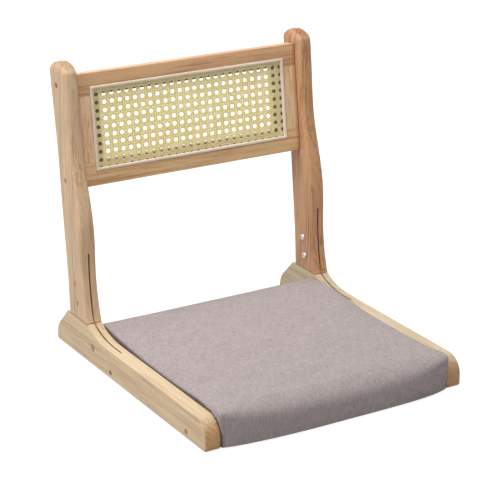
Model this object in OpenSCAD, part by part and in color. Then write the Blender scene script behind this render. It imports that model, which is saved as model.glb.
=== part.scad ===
// Folding floor chair: two side rails, a seat pad between them, and a backrest
// with a cane panel that folds forward over the seat on two steel hinge plates.
// Units are millimetres. +Z is up, the chair faces -Y, and the origin is on the
// floor at the middle of its outline.
// Side views are drawn with "set", the distance forward of the rails' rear ends.

/* [Overall] */
// Overall width, over the two side rails
overall_w = 440; // [400:5:500]
// Thickness of the side rails and the back posts
timber_t = 25; // [22:0.5:30]

/* [Side rails] */
// Length of a side rail
rail_len = 467; // [440:1:520]
// Height of a side rail beside the seat
rail_h = 45; // [42:0.5:50]
// Height of the heel that carries the post
heel_h = 61; // [57:0.5:66]
// Radius of the rounded tail
tail_r = 34; // [24:1:38]
// Radius of the rounded nose
nose_r = 28; // [15:1:34]
// Radius of the two corners on the floor
sole_r = 4; // [1:0.5:8]
// Height at which the tail's arc begins
tail_z = 8; // [4:0.5:16]
// Radius of the corner between the tail's slope and the heel
heel_r = 7; // [3:0.5:10]
// Length of the fillet from the heel down to the rail
fillet_len = 82; // [60:1:100]

/* [Back posts] */
// Height of the top of the posts above the floor
post_top = 453.5; // [420:0.5:480]
// How far the foot of a post stands ahead of the rails' rear ends
post_lean = 48.5; // [40:0.5:60]
// How far the top of a post stands behind the rails' rear ends
crown_back = 4.5; // [0:0.5:8]
// How much the rear edge of a post is bowed
post_bow = 0.3; // [0:0.05:0.8]
// Depth of a post at its foot
foot_depth = 59; // [55:0.5:62]
// Height of the flare of the foot
flare_h = 66; // [50:1:80]
// Depth of a post at its neck, above the flare
neck_depth = 53.5; // [50:0.5:55]
// Depth of a post at its knee
knee_depth = 59; // [54:0.5:62]
// Height of the knee above the foot
knee_up = 145; // [120:1:170]
// Depth of a post at its waist
waist_depth = 47; // [42:0.5:50]
// Height of the waist above the foot
waist_up = 270; // [240:1:300]
// Depth of a post at its top
crown_depth = 52.5; // [46:0.5:56]
// Height of the domed top
dome_h = 17; // [12:1:22]
// Radius of the long edges of a post
post_edge_r = 5.5; // [3:0.5:8]
// Radius of the edges at the foot
foot_edge_r = 1.5; // [1:0.5:3]

/* [Back panel] */
// Angle that the panel leans back
panel_lean = 7.8; // [4:0.2:12]
// Height of the panel's lower front edge above the floor
panel_z = 262; // [240:1:275]
// Distance of the panel's lower front edge ahead of the rails' rear ends
panel_set = 57; // [54:0.5:60]
// Height of the panel along its slope
panel_h = 173; // [150:1:180]
// Thickness of the panel frame
panel_t = 20; // [17:0.5:22]
// Height of the top rail of the frame
top_rail_h = 34.5; // [32:0.1:40]
// Height of the bottom rail of the frame
bottom_rail_h = 35.9; // [33:0.1:40]
// Width of a stile of the frame
stile_w = 40; // [34:0.5:50]
// Width of the ledge under the cane at the sides
side_ledge = 17; // [12:0.5:22]
// Width of the ledge under the cane at the top and bottom
end_ledge = 14.2; // [10:0.1:16]
// Depth of the rebate for the cane
rebate_d = 5; // [3:0.5:7]
// Diameter of the dowels in the frame's corners
dowel_d = 8; // [6:1:8]
// Length of the dowels
dowel_len = 28; // [20:1:28]

/* [Cane] */
// Thickness of the cane webbing
cane_t = 1.5; // [1:0.1:2]
// Distance between gaps across
cane_pitch_x = 13.08; // [10:0.02:16]
// Distance between gaps upward
cane_pitch_z = 12.6; // [10:0.02:16]
// Width of one gap
cane_gap = 6.6; // [5:0.1:8]
// Least width of whole cane outside the outermost gaps at the sides
cane_side_border = 1; // [0.8:0.1:5]
// Least width of whole cane outside the outermost gaps at the top and bottom
cane_end_border = 5; // [1:0.1:8]
// How far the pattern of the cane sits to the right of the middle
cane_shift = 3.6; // [-4:0.1:4]
// How far the pattern of the cane sits above the middle
cane_rise = 0.5; // [-2.4:0.1:2.4]
// Width of a bead strip
bead_w = 5; // [4:0.5:7]
// Height of a bead strip
bead_h = 5; // [4:0.5:6]

/* [Hinges] */
// Distance of the pivot ahead of the rails' rear ends
pivot_set = 124; // [120:0.5:128]
// Height of the pivot above the floor
pivot_z = 29; // [26:0.5:32]
// Thickness of the hinge plates
plate_t = 2.5; // [2:0.1:3]
// Width of the hinge plates
plate_w = 20; // [16:0.5:22]
// Width of the saw slots
slot_w = 3.2; // [2.8:0.1:4]
// Radius of the saw that cuts the slots
saw_r = 80; // [78:1:84]
// Distance of the saw's centre ahead of the pivot, for the rail's slot
rail_saw_ahead = 4; // [2:0.5:6]
// Wood left under the rail's slot
slot_floor = 8; // [6:0.5:12]
// Distance of the saw's centre ahead of the rear ends, for the post's slot
post_saw_set = 137; // [135:0.5:139]
// Height of the saw's centre, for the post's slot
post_saw_z = 103; // [100:0.5:108]
// Diameter of the pivot sleeve
pivot_d = 8; // [6:0.5:10]
// Diameter of the flat heads of the pivot fittings
pivot_head_d = 12; // [11:0.5:16]
// Thickness of the flat heads of the pivot fittings
pivot_head_t = 1.5; // [1:0.1:2.5]

/* [Post bolts] */
// Diameter of the bolts through posts and plates
bolt_d = 6; // [5:0.5:6]
// Diameter of the bolts' heads
bolt_head_d = 10; // [9:0.5:12]
// Height of the bolts' heads
bolt_head_h = 3; // [2:0.5:4]
// Outer diameter of the sleeve nuts
nut_d = 8; // [7.5:0.5:9]
// Length of the sleeve nuts
nut_len = 8; // [6:0.5:9]
// Depth of the sleeve nuts below the outer face
nut_recess = 1; // [0.5:0.5:1.5]
// Height of the lower bolt above the foot
bolt_low_up = 24.4; // [22:0.2:28]
// Distance of the lower bolt behind the pivot
bolt_low_back = 48; // [44:0.5:52]
// Height of the upper bolt above the foot
bolt_high_up = 54.4; // [50:0.2:60]
// Distance of the upper bolt behind the pivot
bolt_high_back = 54; // [52:0.5:58]

/* [Screws and plugs] */
// Diameter of the screws
screw_d = 5; // [4:0.5:6]
// Diameter of the screws' heads and of the plugs over them
plug_d = 8; // [7.5:0.5:10]
// Thickness of the plugs
plug_t = 5; // [3:0.5:6]
// Height of the screws' heads
screw_head_h = 3; // [2:0.5:4]
// Length of the panel screws
panel_screw_len = 50; // [40:1:60]
// Length of the seat screws
seat_screw_len = 45; // [35:1:60]
// Depth of the upper panel screws behind the panel's face
panel_screw_high_in = 12.5; // [8:0.5:13]
// Depth of the lower panel screws behind the panel's face
panel_screw_low_in = 9.5; // [9:0.5:13]
// Distance of the rear seat screws ahead of the rear ends
seat_screw_rear_set = 182; // [160:1:230]
// Distance of the front seat screws ahead of the rear ends
seat_screw_front_set = 413; // [350:1:425]

/* [Seat] */
// Distance of the cushion's rear side ahead of the rear ends
cushion_rear_set = 96; // [90:1:110]
// How far the cushion stands ahead of the rails in the middle
cushion_bulge = 15; // [4:0.5:20]
// How far the cushion stands ahead of the rails at its corners
cushion_proud = 2; // [0:0.5:5]
// Height of the cushion's underside above the floor
cushion_z = 1.5; // [1.2:0.1:6]
// Height of the cushion's upper edge above the floor
cushion_edge_z = 53; // [48:0.5:60]
// Extra height of the upper edge along the rear half of the sides
cushion_rear_lift = 7.2; // [0:0.1:9]
// Extra height of the upper edge at the front corners
cushion_front_lift = 2.9; // [0:0.1:5]
// How far the upper edge sags in the middle of the sides
cushion_sag = 3.3; // [0:0.1:5]
// Height of the cushion's crown above its upper edge
cushion_crown = 8; // [2:0.5:14]
// How far the sides are drawn in between the corners
cushion_draw = 3; // [0:0.5:6]
// Radius of the cushion's upper edge along the sides
cushion_side_roll = 7; // [4:0.5:10]
// Radius of the cushion's upper edge at the corners
cushion_corner_roll = 4; // [3:0.5:8]
// Radius of the cushion's upper edge at the rear
cushion_rear_roll = 5; // [4:0.5:10]
// Radius of the cushion's upper edge at the front
cushion_front_roll = 9; // [5:0.5:14]
// Extra radius of the front edge in the middle
cushion_front_swell = 14; // [0:1:18]
// Radius of the cushion's lower edges
cushion_under_r = 1; // [0.5:0.5:4]
// Radius of the cushion's corners seen from above
cushion_corner_r = 6; // [5:1:20]
// Thickness of the fabric cover
cover_t = 1.3; // [1:0.1:2]
// Width of the cover's hem under the board
hem_w = 35; // [25:1:50]
// Thickness of the bottom cloth
cloth_t = 0.7; // [0.5:0.1:1]
// Thickness of the seat board
board_t = 15; // [12:1:16]
// Radius of the board's corners seen from above
board_corner_r = 12; // [10:1:30]
// Thickness of foam ahead of the board's front edge
board_front_foam = 6; // [4:0.5:12]

/* [Hidden] */

// Colours
light_wood = [0.86, 0.72, 0.53];
warm_wood = [0.80, 0.64, 0.46];
plug_wood = [0.62, 0.47, 0.33];
bead_wood = [0.87, 0.75, 0.65];
cane_yellow = [0.90, 0.84, 0.58];
fabric_grey = [0.70, 0.65, 0.64];
cloth_black = [0.16, 0.16, 0.17];
foam_cream = [0.93, 0.90, 0.78];
plywood = [0.80, 0.69, 0.52];
bright_steel = [0.78, 0.78, 0.80];

// Clearances: between a hole and its pin, and round a soft part
pin_gap = 0.05;
soft_gap = 0.3;
// A cut runs this far past the face that it opens
over = 1;

// Places worked out from the sizes above
rear_y = (rail_len + cushion_bulge - crown_back) / 2;
inner_x = overall_w / 2 - timber_t;
rail_mid_x = overall_w / 2 - timber_t / 2;
outer_x = overall_w / 2;
dome_z = post_top - dome_h;
bolt_low = [pivot_set - bolt_low_back, heel_h + bolt_low_up];
bolt_high = [pivot_set - bolt_high_back, heel_h + bolt_high_up];
pivot = [pivot_set, pivot_z];

// Heights and outlines of the cushion
board_z = cushion_z + cover_t;
board_top = board_z + board_t;
board_half_w = inner_x - soft_gap - cover_t;
board_rear_set = cushion_rear_set + cover_t;
board_front_set = rail_len + cushion_proud - cover_t - board_front_foam;

// Frame of the cane panel, in the panel's own plane: x across, z up its slope,
// y behind its front face
frame_half_w = inner_x;
opening_half_w = frame_half_w - stile_w;
opening_low = bottom_rail_h;
opening_high = panel_h - top_rail_h;
rebate_half_w = opening_half_w + side_ledge;
rebate_low = opening_low - end_ledge;
rebate_high = opening_high + end_ledge;
cane_y = rebate_d - cane_t;

// Points of an arc about c from angle a to angle b
function arc(c, r, a, b, steps = 8) =
    [for (i = [0:steps]) c + r * [cos(a + (b - a) * i / steps), sin(a + (b - a) * i / steps)]];

// 0 at t = 0, 1 at t = 1, level at both ends
function ease(t) = let (u = min(1, max(0, t))) u * u * (3 - 2 * u);

// A side view drawn in [set, height] becomes a solid from x0 to x1
module from_side(x0, x1)
    translate([x0, rear_y, 0])
        rotate([90, 0, 90])
            linear_extrude(x1 - x0)
                mirror([1, 0]) children();

// A round bar along X at p = [set, height] from x0 to x1
module bar_x(p, r, x0, x1)
    translate([x0, rear_y - p[0], p[1]])
        rotate([0, 90, 0]) cylinder(r = r, h = x1 - x0, $fn = 48);

// Mirrored copies on the left (-1) and the right (+1)
module on_side(side)
    if (side < 0) mirror([1, 0, 0]) children();
    else children();

// Side rails

// The tail is an arc and a slope of 45 degrees, which reaches the heel's height
// at heel_set, where a rounded corner takes it onto the heel
heel_set = tail_r * (1 - cos(45)) + heel_h - tail_z - tail_r * sin(45);
heel_mid = [heel_set + heel_r * tan(22.5), heel_h - heel_r];
fillet_set = post_lean + foot_depth;

function fillet_z(u) = rail_h + (heel_h - rail_h) * pow(1 - u, 3);

module rail_outline()
    polygon(concat(
        arc([sole_r, sole_r], sole_r, 270, 180, 4),
        arc([tail_r, tail_z], tail_r, 180, 135),
        arc(heel_mid, heel_r, 135, 90, 4),
        [for (i = [0:12]) [fillet_set + fillet_len * i / 12, fillet_z(i / 12)]],
        arc([rail_len - nose_r, rail_h - nose_r], nose_r, 90, 0),
        arc([rail_len - sole_r, sole_r], sole_r, 0, -90, 4)));

// The saw cut is a disc, so its floor is an arc and it runs out at both ends
module saw_cut(p)
    bar_x(p, saw_r, rail_mid_x - slot_w / 2, rail_mid_x + slot_w / 2);

module side_rail(side)
    color(light_wood) on_side(side) difference() {
        from_side(inner_x, outer_x) rail_outline();
        saw_cut([pivot_set + rail_saw_ahead, slot_floor + saw_r]);
        bar_x(pivot, pivot_d / 2 + pin_gap, inner_x - over, outer_x + over);
        bar_x(pivot, pivot_head_d / 2 + pin_gap, outer_x - pivot_head_t, outer_x + over);
        bar_x(pivot, pivot_head_d / 2 + pin_gap, inner_x - over, inner_x + pivot_head_t);
        seat_screw_holes();
    }

// Pivot fittings: a sleeve from outside and a screw into it from inside

sleeve_len = timber_t - pivot_head_t;
screw_core_d = pivot_d - 3;
pivot_grip = 14;
driver_slot = [2, 1.2];

module pivot_sleeve(side)
    color(bright_steel) on_side(side) difference() {
        union() {
            bar_x(pivot, pivot_d / 2, outer_x - sleeve_len, outer_x);
            bar_x(pivot, pivot_head_d / 2, outer_x - pivot_head_t, outer_x);
        }
        bar_x(pivot, screw_core_d / 2, outer_x - sleeve_len - over, outer_x - timber_t + pivot_grip);
        bar_x(pivot, screw_core_d / 2, outer_x - pivot_head_t, outer_x + over);
    }

module pivot_screw(side)
    color(bright_steel) on_side(side) difference() {
        union() {
            bar_x(pivot, pivot_head_d / 2, inner_x, inner_x + pivot_head_t);
            bar_x(pivot, screw_core_d / 2, inner_x, inner_x + pivot_grip);
        }
        translate([inner_x, rear_y - pivot[0], pivot[1]])
            cube([driver_slot[0], driver_slot[1], pivot_head_d - 2 * driver_slot[1]], center = true);
    }

// Back posts

// Set of a post's rear edge and its depth at height h above the foot
function post_u(h) = h / (dome_z - heel_h);
function post_rear(h) =
    (post_lean + crown_back) * (1 - post_u(h)) * (1 + post_bow * post_u(h)) - crown_back;
function post_flare(h) = (foot_depth - neck_depth) * pow(max(0, 1 - h / flare_h), 3);
function post_body(h) =
    h < knee_up ? neck_depth + (knee_depth - neck_depth) * ease((h - flare_h) / (knee_up - flare_h))
    : h < waist_up ? knee_depth + (waist_depth - knee_depth) * ease((h - knee_up) / (waist_up - knee_up))
    : waist_depth + (crown_depth - waist_depth) * ease((h - waist_up) / (dome_z - heel_h - waist_up));
function post_depth(h) = post_body(h) + post_flare(h);

// One level of a post: height, set of its middle, half depth, half thickness, edge radius
function post_level(h) = let (d = post_depth(h)) [
    heel_h + h, post_rear(h) + d / 2, d / 2, timber_t / 2,
    foot_edge_r + (post_edge_r - foot_edge_r) * ease(h / flare_h)];

// One level of the dome, at angle a above the horizontal
function dome_level(a) = let (half = crown_depth / 2) [
    dome_z + dome_h * sin(a), half - crown_back, half * cos(a),
    timber_t / 2 - post_edge_r * (1 - cos(a)), min(post_edge_r, half * cos(a) * 0.98)];

// The levels lie closest together in the flare
post_steps = 20;
post_levels = concat(
    [for (i = [0:post_steps - 1]) post_level((dome_z - heel_h) * pow(i / post_steps, 1.5))],
    [for (a = [0:12:84]) dome_level(a)]);

// A rounded rectangle with four points to a corner
corner_steps = 3;
function level_ring(v) = [
    for (c = [[1, 1, 0], [-1, 1, 90], [-1, -1, 180], [1, -1, 270]], i = [0:corner_steps])
        let (a = c[2] + 90 * i / corner_steps)
        [rail_mid_x + c[0] * (v[3] - v[4]) + v[4] * cos(a),
         rear_y - v[1] + c[1] * (v[2] - v[4]) + v[4] * sin(a),
         v[0]]];

// The point in the middle of a ring
function middle(ring) = [for (axis = [0:2])
    [for (p = ring) p[axis]] * [for (p = ring) 1] / len(ring)];

// A closed skin over rings of points, listed from the bottom up
module skin(rings) {
    n = len(rings[0]);
    last = len(rings) - 1;
    low_middle = n * len(rings);
    polyhedron(
        points = concat([for (r = rings) each r], [middle(rings[0]), middle(rings[last])]),
        faces = concat(
            [for (i = [0:n - 1]) [i, (i + 1) % n, low_middle]],
            [for (k = [0:last - 1], i = [0:n - 1]) let (j = (i + 1) % n)
                each [[k * n + i, (k + 1) * n + i, k * n + j],
                      [k * n + j, (k + 1) * n + i, (k + 1) * n + j]]],
            [for (i = [0:n - 1]) [last * n + (i + 1) % n, last * n + i, low_middle + 1]]));
}

module back_post(side)
    color(warm_wood) on_side(side) difference() {
        skin([for (v = post_levels) level_ring(v)]);
        saw_cut([post_saw_set, post_saw_z]);
        for (p = [bolt_low, bolt_high]) {
            bar_x(p, bolt_d / 2 + pin_gap, inner_x - over, outer_x - nut_len);
            bar_x(p, nut_d / 2 + pin_gap, outer_x - nut_recess - nut_len, outer_x + over);
        }
        panel_screw_holes();
    }

// Hinge plates

// A flat bar with round ends from the pivot to the upper bolt, bent at the lower
// bolt: round on the outside of the bend and mitred on the inside
function heading(a, b) = atan2(b[1] - a[1], b[0] - a[0]);
low_heading = heading(pivot, bolt_low);
high_heading = heading(bolt_low, bolt_high);
half_turn = (low_heading - high_heading) / 2;
mitre_heading = low_heading - half_turn - 90;
plate_r = plate_w / 2;

module plate_outline()
    polygon(concat(
        arc(pivot, plate_r, low_heading + 90, low_heading + 270, 16),
        [bolt_low + plate_r / cos(half_turn) * [cos(mitre_heading), sin(mitre_heading)]],
        arc(bolt_high, plate_r, high_heading - 90, high_heading + 90, 16),
        arc(bolt_low, plate_r, high_heading + 90, low_heading + 90, 4)));

module hinge_plate(side)
    color(bright_steel) on_side(side) difference() {
        from_side(rail_mid_x - plate_t / 2, rail_mid_x + plate_t / 2) plate_outline();
        bar_x(pivot, pivot_d / 2 + pin_gap, inner_x, outer_x);
        for (p = [bolt_low, bolt_high]) bar_x(p, bolt_d / 2 + pin_gap, inner_x, outer_x);
    }

// Size of the hexagon socket in a bolt's head, and the gap between the bolt's end and the nut's
socket_d = bolt_d * 2 / 3;
bolt_end_gap = 2;

module post_bolts(side)
    color(bright_steel) on_side(side) for (p = [bolt_low, bolt_high]) difference() {
        union() {
            bar_x(p, bolt_head_d / 2, inner_x - bolt_head_h, inner_x);
            bar_x(p, bolt_d / 2, inner_x - bolt_head_h / 2, outer_x - nut_recess - bolt_end_gap);
        }
        translate([inner_x - bolt_head_h - over, rear_y - p[0], p[1]])
            rotate([0, 90, 0]) cylinder(d = socket_d, h = bolt_head_h, $fn = 6);
    }

module post_nuts(side)
    color(bright_steel) on_side(side) for (p = [bolt_low, bolt_high]) difference() {
        bar_x(p, nut_d / 2, outer_x - nut_recess - nut_len, outer_x - nut_recess);
        bar_x(p, bolt_d / 2, outer_x - nut_recess - nut_len - over, outer_x - nut_recess + over);
    }

// Back panel

// Draws its children in the panel's own frame
module in_panel()
    translate([0, rear_y - panel_set, panel_z]) rotate([-panel_lean, 0, 0]) children();

// The rebate that holds the cane and its beads
module rebate()
    translate([-rebate_half_w, -over, rebate_low])
        cube([2 * rebate_half_w, rebate_d + over, rebate_high - rebate_low]);

module frame_rail(z0, z1)
    color(light_wood) difference() {
        in_panel() difference() {
            translate([-frame_half_w, 0, z0]) cube([2 * frame_half_w, panel_t, z1 - z0]);
            rebate();
            dowels();
        }
        for (side = [-1, 1]) on_side(side) panel_screw_holes();
    }

module stile(side)
    color(light_wood) on_side(side) in_panel() difference() {
        translate([opening_half_w, 0, opening_low])
            cube([stile_w, panel_t, opening_high - opening_low]);
        rebate();
        dowels();
    }

// Two dowels in each corner of the frame, behind the rebate
dowel_y = (rebate_d + panel_t) / 2;
dowel_places = [0.3, 0.7];
module dowels()
    for (x = [-1, 1], z = [opening_low, opening_high], at = dowel_places)
        translate([x * (opening_half_w + stile_w * at), dowel_y, z - dowel_len / 2])
            cylinder(d = dowel_d, h = dowel_len, $fn = 32);

module frame_dowels() color(light_wood) in_panel() dowels();

// Cane webbing: a flat net of gaps in its rebate

cane_margin = 0.5;
cane_half_w = rebate_half_w - cane_margin;
cane_low = rebate_low + cane_margin;
cane_high = rebate_high - cane_margin;
cane_mid_z = (cane_low + cane_high) / 2 + cane_rise;

// As many gaps as fit across a width, with the pattern off its middle by shift
function gaps_in(width, shift, pitch, border) =
    floor((width - 2 * abs(shift) - 2 * border - cane_gap) / pitch) + 1;
cane_cols = gaps_in(2 * cane_half_w, cane_shift, cane_pitch_x, cane_side_border);
cane_rows = gaps_in(cane_high - cane_low, cane_rise, cane_pitch_z, cane_end_border);

function cane_corner(i, k, a, b) = [
    cane_shift + (i - (cane_cols - 1) / 2) * cane_pitch_x + a * cane_gap / 2,
    cane_mid_z + (k - (cane_rows - 1) / 2) * cane_pitch_z + b * cane_gap / 2];
cane_gaps = [for (k = [0:cane_rows - 1], i = [0:cane_cols - 1])
    each [cane_corner(i, k, -1, -1), cane_corner(i, k, 1, -1),
          cane_corner(i, k, 1, 1), cane_corner(i, k, -1, 1)]];

module cane_webbing()
    color(cane_yellow) in_panel() translate([0, rebate_d, 0]) rotate([90, 0, 0]) linear_extrude(cane_t)
        polygon(
            concat([[-cane_half_w, cane_low], [cane_half_w, cane_low],
                    [cane_half_w, cane_high], [-cane_half_w, cane_high]], cane_gaps),
            concat([[0, 1, 2, 3]],
                [for (g = [0:cane_cols * cane_rows - 1]) [for (i = [0:3]) 4 + 4 * g + i]]));

// Bead strips on the edge of the cane, mitred at the corners. The outer edge is at z = 0.
module bead(length)
    rotate([90, 0, 0]) linear_extrude(bead_h)
        polygon([[-length / 2, 0], [length / 2, 0],
                 [length / 2 - bead_w, bead_w], [-length / 2 + bead_w, bead_w]]);

module level_bead(z, turn)
    color(bead_wood) in_panel() translate([0, cane_y, z]) rotate([0, turn, 0])
        bead(2 * rebate_half_w);

module upright_bead(side)
    color(bead_wood) in_panel() translate([side * rebate_half_w, cane_y, (rebate_low + rebate_high) / 2])
        rotate([0, side * -90, 0]) bead(rebate_high - rebate_low);

// Screws under plugs

// The panel screws sit this share of a rail's height in from its outer edge
panel_screw_share = 0.394;
panel_screw_places = [
    [panel_screw_low_in, bottom_rail_h * panel_screw_share],
    [panel_screw_high_in, panel_h - top_rail_h * panel_screw_share]];
seat_screw_places = [
    for (s = [seat_screw_rear_set, seat_screw_front_set]) [s, board_z + board_t / 2]];

// A point of the panel's side view as [set, height]
function from_panel(p) = [
    panel_set - p[0] * cos(panel_lean) - p[1] * sin(panel_lean),
    panel_z - p[0] * sin(panel_lean) + p[1] * cos(panel_lean)];

// The screw's head sits under the plug, and its core runs inward
head_gap = 0.5;
module screw(p, length) {
    bar_x(p, plug_d / 2 - head_gap, outer_x - plug_t - screw_head_h, outer_x - plug_t);
    bar_x(p, screw_d / 2, outer_x - plug_t - length, outer_x - plug_t - screw_head_h / 2);
}

module screw_hole(p, length) {
    bar_x(p, plug_d / 2, outer_x - plug_t - screw_head_h, outer_x + over);
    bar_x(p, screw_d / 2, outer_x - plug_t - length - over, outer_x);
}

module plug(p) bar_x(p, plug_d / 2, outer_x - plug_t, outer_x);

module panel_screw_holes()
    for (p = panel_screw_places) screw_hole(from_panel(p), panel_screw_len);

module seat_screw_holes()
    for (p = seat_screw_places) screw_hole(p, seat_screw_len);

module panel_screws()
    color(bright_steel) for (side = [-1, 1], p = panel_screw_places)
        on_side(side) screw(from_panel(p), panel_screw_len);

module seat_screws()
    color(bright_steel) for (side = [-1, 1], p = seat_screw_places)
        on_side(side) screw(p, seat_screw_len);

module panel_screw_plugs()
    color(plug_wood) for (side = [-1, 1], p = panel_screw_places) on_side(side) plug(from_panel(p));

module seat_screw_plugs()
    color(plug_wood) for (side = [-1, 1], p = seat_screw_places) on_side(side) plug(p);

// Seat

// The cushion's outline seen from above, for a point at u from -1 (left) to 1
// and v from -1 (front) to 1 (rear). Its sides are drawn in between the corners,
// above the board, and its front bulges.
draw_rise = 20;
bulge_power = 4;
function side_at(v, z) = inner_x - soft_gap
    - cushion_draw * (1 - v * v) * ease((z - board_top) / draw_rise);
function front_at(u) =
    rail_len + cushion_bulge - (cushion_bulge - cushion_proud) * pow(abs(u), bulge_power);

// A point of that outline, set in across by inset[0] and along by inset[1]
function cushion_point(u, v, z, inset) = let (rear = cushion_rear_set, front = front_at(u),
        mid = (rear + front) / 2, half = (front - rear) / 2)
    [u * (side_at(v, z) - inset[0]), rear_y - mid + v * (half - inset[1]), z];

// Places round the outline: along each side, with rounded corners
half_w = inner_x;
half_l = (rail_len - cushion_rear_set) / 2;
function corner_places(cx, cy, from) = [for (i = [0:3])
    [cx * (1 - cushion_corner_r / half_w) + cushion_corner_r / half_w * cos(from + 30 * i),
     cy * (1 - cushion_corner_r / half_l) + cushion_corner_r / half_l * sin(from + 30 * i)]];
side_places = [-0.85, -0.6, -0.3, 0, 0.3, 0.6, 0.8, 0.9];
front_places = [-0.8, -0.5, -0.2, 0.2, 0.5, 0.8];
places = concat(
    corner_places(1, 1, 0),
    [for (u = front_places) [-u, 1]],
    corner_places(-1, 1, 90),
    [for (i = [len(side_places) - 1:-1:0]) [-1, side_places[i]]],
    corner_places(-1, -1, 180),
    [for (u = front_places) [u, -1]],
    corner_places(1, -1, 270),
    [for (v = side_places) [1, v]]);

// Height of the upper edge. The sides sag in the middle, rise toward the front
// corners, and stand high along the rear half before they drop to the rear edge.
lift_power = 1.5;
sag_power = 4;
function side_rise(v) =
    cushion_rear_lift * ease((v + 0.1) / 0.7) * (1 - ease((v - 0.8) / 0.22))
    + cushion_front_lift * ease((-v - 0.7) / 0.3)
    - cushion_sag * pow(1 - v * v, sag_power);
function edge_z(u, v) = cushion_edge_z + side_rise(v) * pow(abs(u), lift_power);

// Radii of the roll there: across, along and upward. The front one swells in the middle.
swell_power = 3;
blend_power = 14;
function roll_across(v) =
    cushion_corner_roll + (cushion_side_roll - cushion_corner_roll) * (1 - v * v);
function roll_along(u, v) = v > 0 ? cushion_rear_roll
    : cushion_front_roll + cushion_front_swell * (1 - pow(abs(u), swell_power));
function roll_up(u, v) =
    let (a = pow(abs(u), blend_power), b = pow(abs(v), blend_power), share = a / (a + b))
    share * roll_across(v) + (1 - share) * roll_along(u, v);

// One ring of the side, one of the roll at angle a, and one of the crown at scale k
crown_power = 2.4;
function wall_ring(z, inset) = [for (p = places) cushion_point(p[0], p[1], z, [inset, inset])];
function roll_ring(a, skin_in) = [for (p = places) let (u = p[0], v = p[1], turned = 1 - cos(a))
    cushion_point(u, v, edge_z(u, v) - skin_in - roll_up(u, v) * (1 - sin(a)),
        [skin_in + roll_across(v) * turned, skin_in + roll_along(u, v) * turned])];
function crown_ring(k, skin_in) = [for (q = roll_ring(90, skin_in))
    let (mid_y = rear_y - (rail_len + cushion_rear_set) / 2)
    [q[0] * k, mid_y + (q[1] - mid_y) * k,
     q[2] * pow(k, 2) + (cushion_edge_z - skin_in) * (1 - pow(k, 2))
        + cushion_crown * (1 - pow(k, crown_power))]];

module cushion_form(skin_in)
    skin(concat(
        [wall_ring(cushion_z + skin_in, skin_in + cushion_under_r),
         wall_ring(cushion_z + cushion_under_r + skin_in, skin_in),
         wall_ring(board_top, skin_in)],
        [for (a = [0:22.5:90]) roll_ring(a, skin_in)],
        [for (k = [0.86, 0.68, 0.46, 0.22]) crown_ring(k, skin_in)]));

module seat_cover()
    color(fabric_grey) difference() {
        cushion_form(0);
        cushion_form(cover_t);
        translate([-board_half_w + hem_w, rear_y - board_front_set + hem_w, 0])
            cube([
                2 * (board_half_w - hem_w),
                board_front_set - board_rear_set - 2 * hem_w,
                board_z + over]);
        for (side = [-1, 1]) on_side(side) seat_screw_holes();
    }

module seat_foam()
    color(foam_cream) difference() {
        cushion_form(cover_t);
        translate([-outer_x, rear_y - board_front_set, 0])
            cube([overall_w, board_front_set, board_top]);
    }

// The board's outline seen from above, and a section from a to b, whose lower edges
// are eased as the cover's are
module board_plan() let (r = board_corner_r, w = board_half_w - r,
        front = rear_y - board_front_set + r, rear = rear_y - board_rear_set - r)
    polygon(concat(
        arc([w, rear], r, 0, 90),
        arc([-w, rear], r, 90, 180),
        arc([-w, front], r, 180, 270),
        arc([w, front], r, 270, 360)));

module board_section(a, b) let (eased = cushion_under_r)
    polygon([[a + eased, board_z], [b - eased, board_z], [b, board_z + eased],
             [b, board_top], [a, board_top], [a, board_z + eased]]);

module seat_board()
    color(plywood) difference() {
        intersection() {
            translate([0, 0, board_z]) linear_extrude(board_t) board_plan();
            translate([0, rear_y - board_rear_set, 0]) rotate([90, 0, 0])
                linear_extrude(board_front_set - board_rear_set) board_section(-board_half_w, board_half_w);
            from_side(-board_half_w, board_half_w) board_section(board_rear_set, board_front_set);
        }
        for (side = [-1, 1]) on_side(side) seat_screw_holes();
    }

module seat_bottom_cloth()
    color(cloth_black)
        translate([-board_half_w + hem_w / 2, rear_y - board_front_set + hem_w / 2, cushion_z - cloth_t])
            cube([2 * board_half_w - hem_w, board_front_set - board_rear_set - hem_w, cloth_t]);

side_rail(-1);  // left_side_rail
side_rail(1);  // right_side_rail
pivot_sleeve(-1);  // left_pivot_sleeve
pivot_sleeve(1);  // right_pivot_sleeve
pivot_screw(-1);  // left_pivot_screw
pivot_screw(1);  // right_pivot_screw
seat_board();
seat_foam();
seat_cover();
seat_bottom_cloth();
seat_screws();
seat_screw_plugs();
back_post(-1);  // left_back_post
back_post(1);  // right_back_post
hinge_plate(-1);  // left_hinge_plate
hinge_plate(1);  // right_hinge_plate
post_bolts(-1);  // left_post_bolts
post_bolts(1);  // right_post_bolts
post_nuts(-1);  // left_post_nuts
post_nuts(1);  // right_post_nuts
frame_rail(opening_high, panel_h);  // back_top_rail
frame_rail(0, opening_low);  // back_bottom_rail
stile(-1);  // back_left_stile
stile(1);  // back_right_stile
frame_dowels();
cane_webbing();
level_bead(rebate_high, 180);  // top_bead
level_bead(rebate_low, 0);  // bottom_bead
upright_bead(-1);  // left_bead
upright_bead(1);  // right_bead
panel_screws();
panel_screw_plugs();
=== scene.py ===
"""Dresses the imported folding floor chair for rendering: eased and grained wood, woven
cane, a padded seat and metal fittings, on a pale floor in soft light.

Lengths in this script are in millimetres, in the chair's own frame. A side view is
given as (set, height), where set is the distance forward of the rails' rear ends."""

import json
import math

import bpy
import numpy as np
from mathutils import Matrix, Vector


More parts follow.
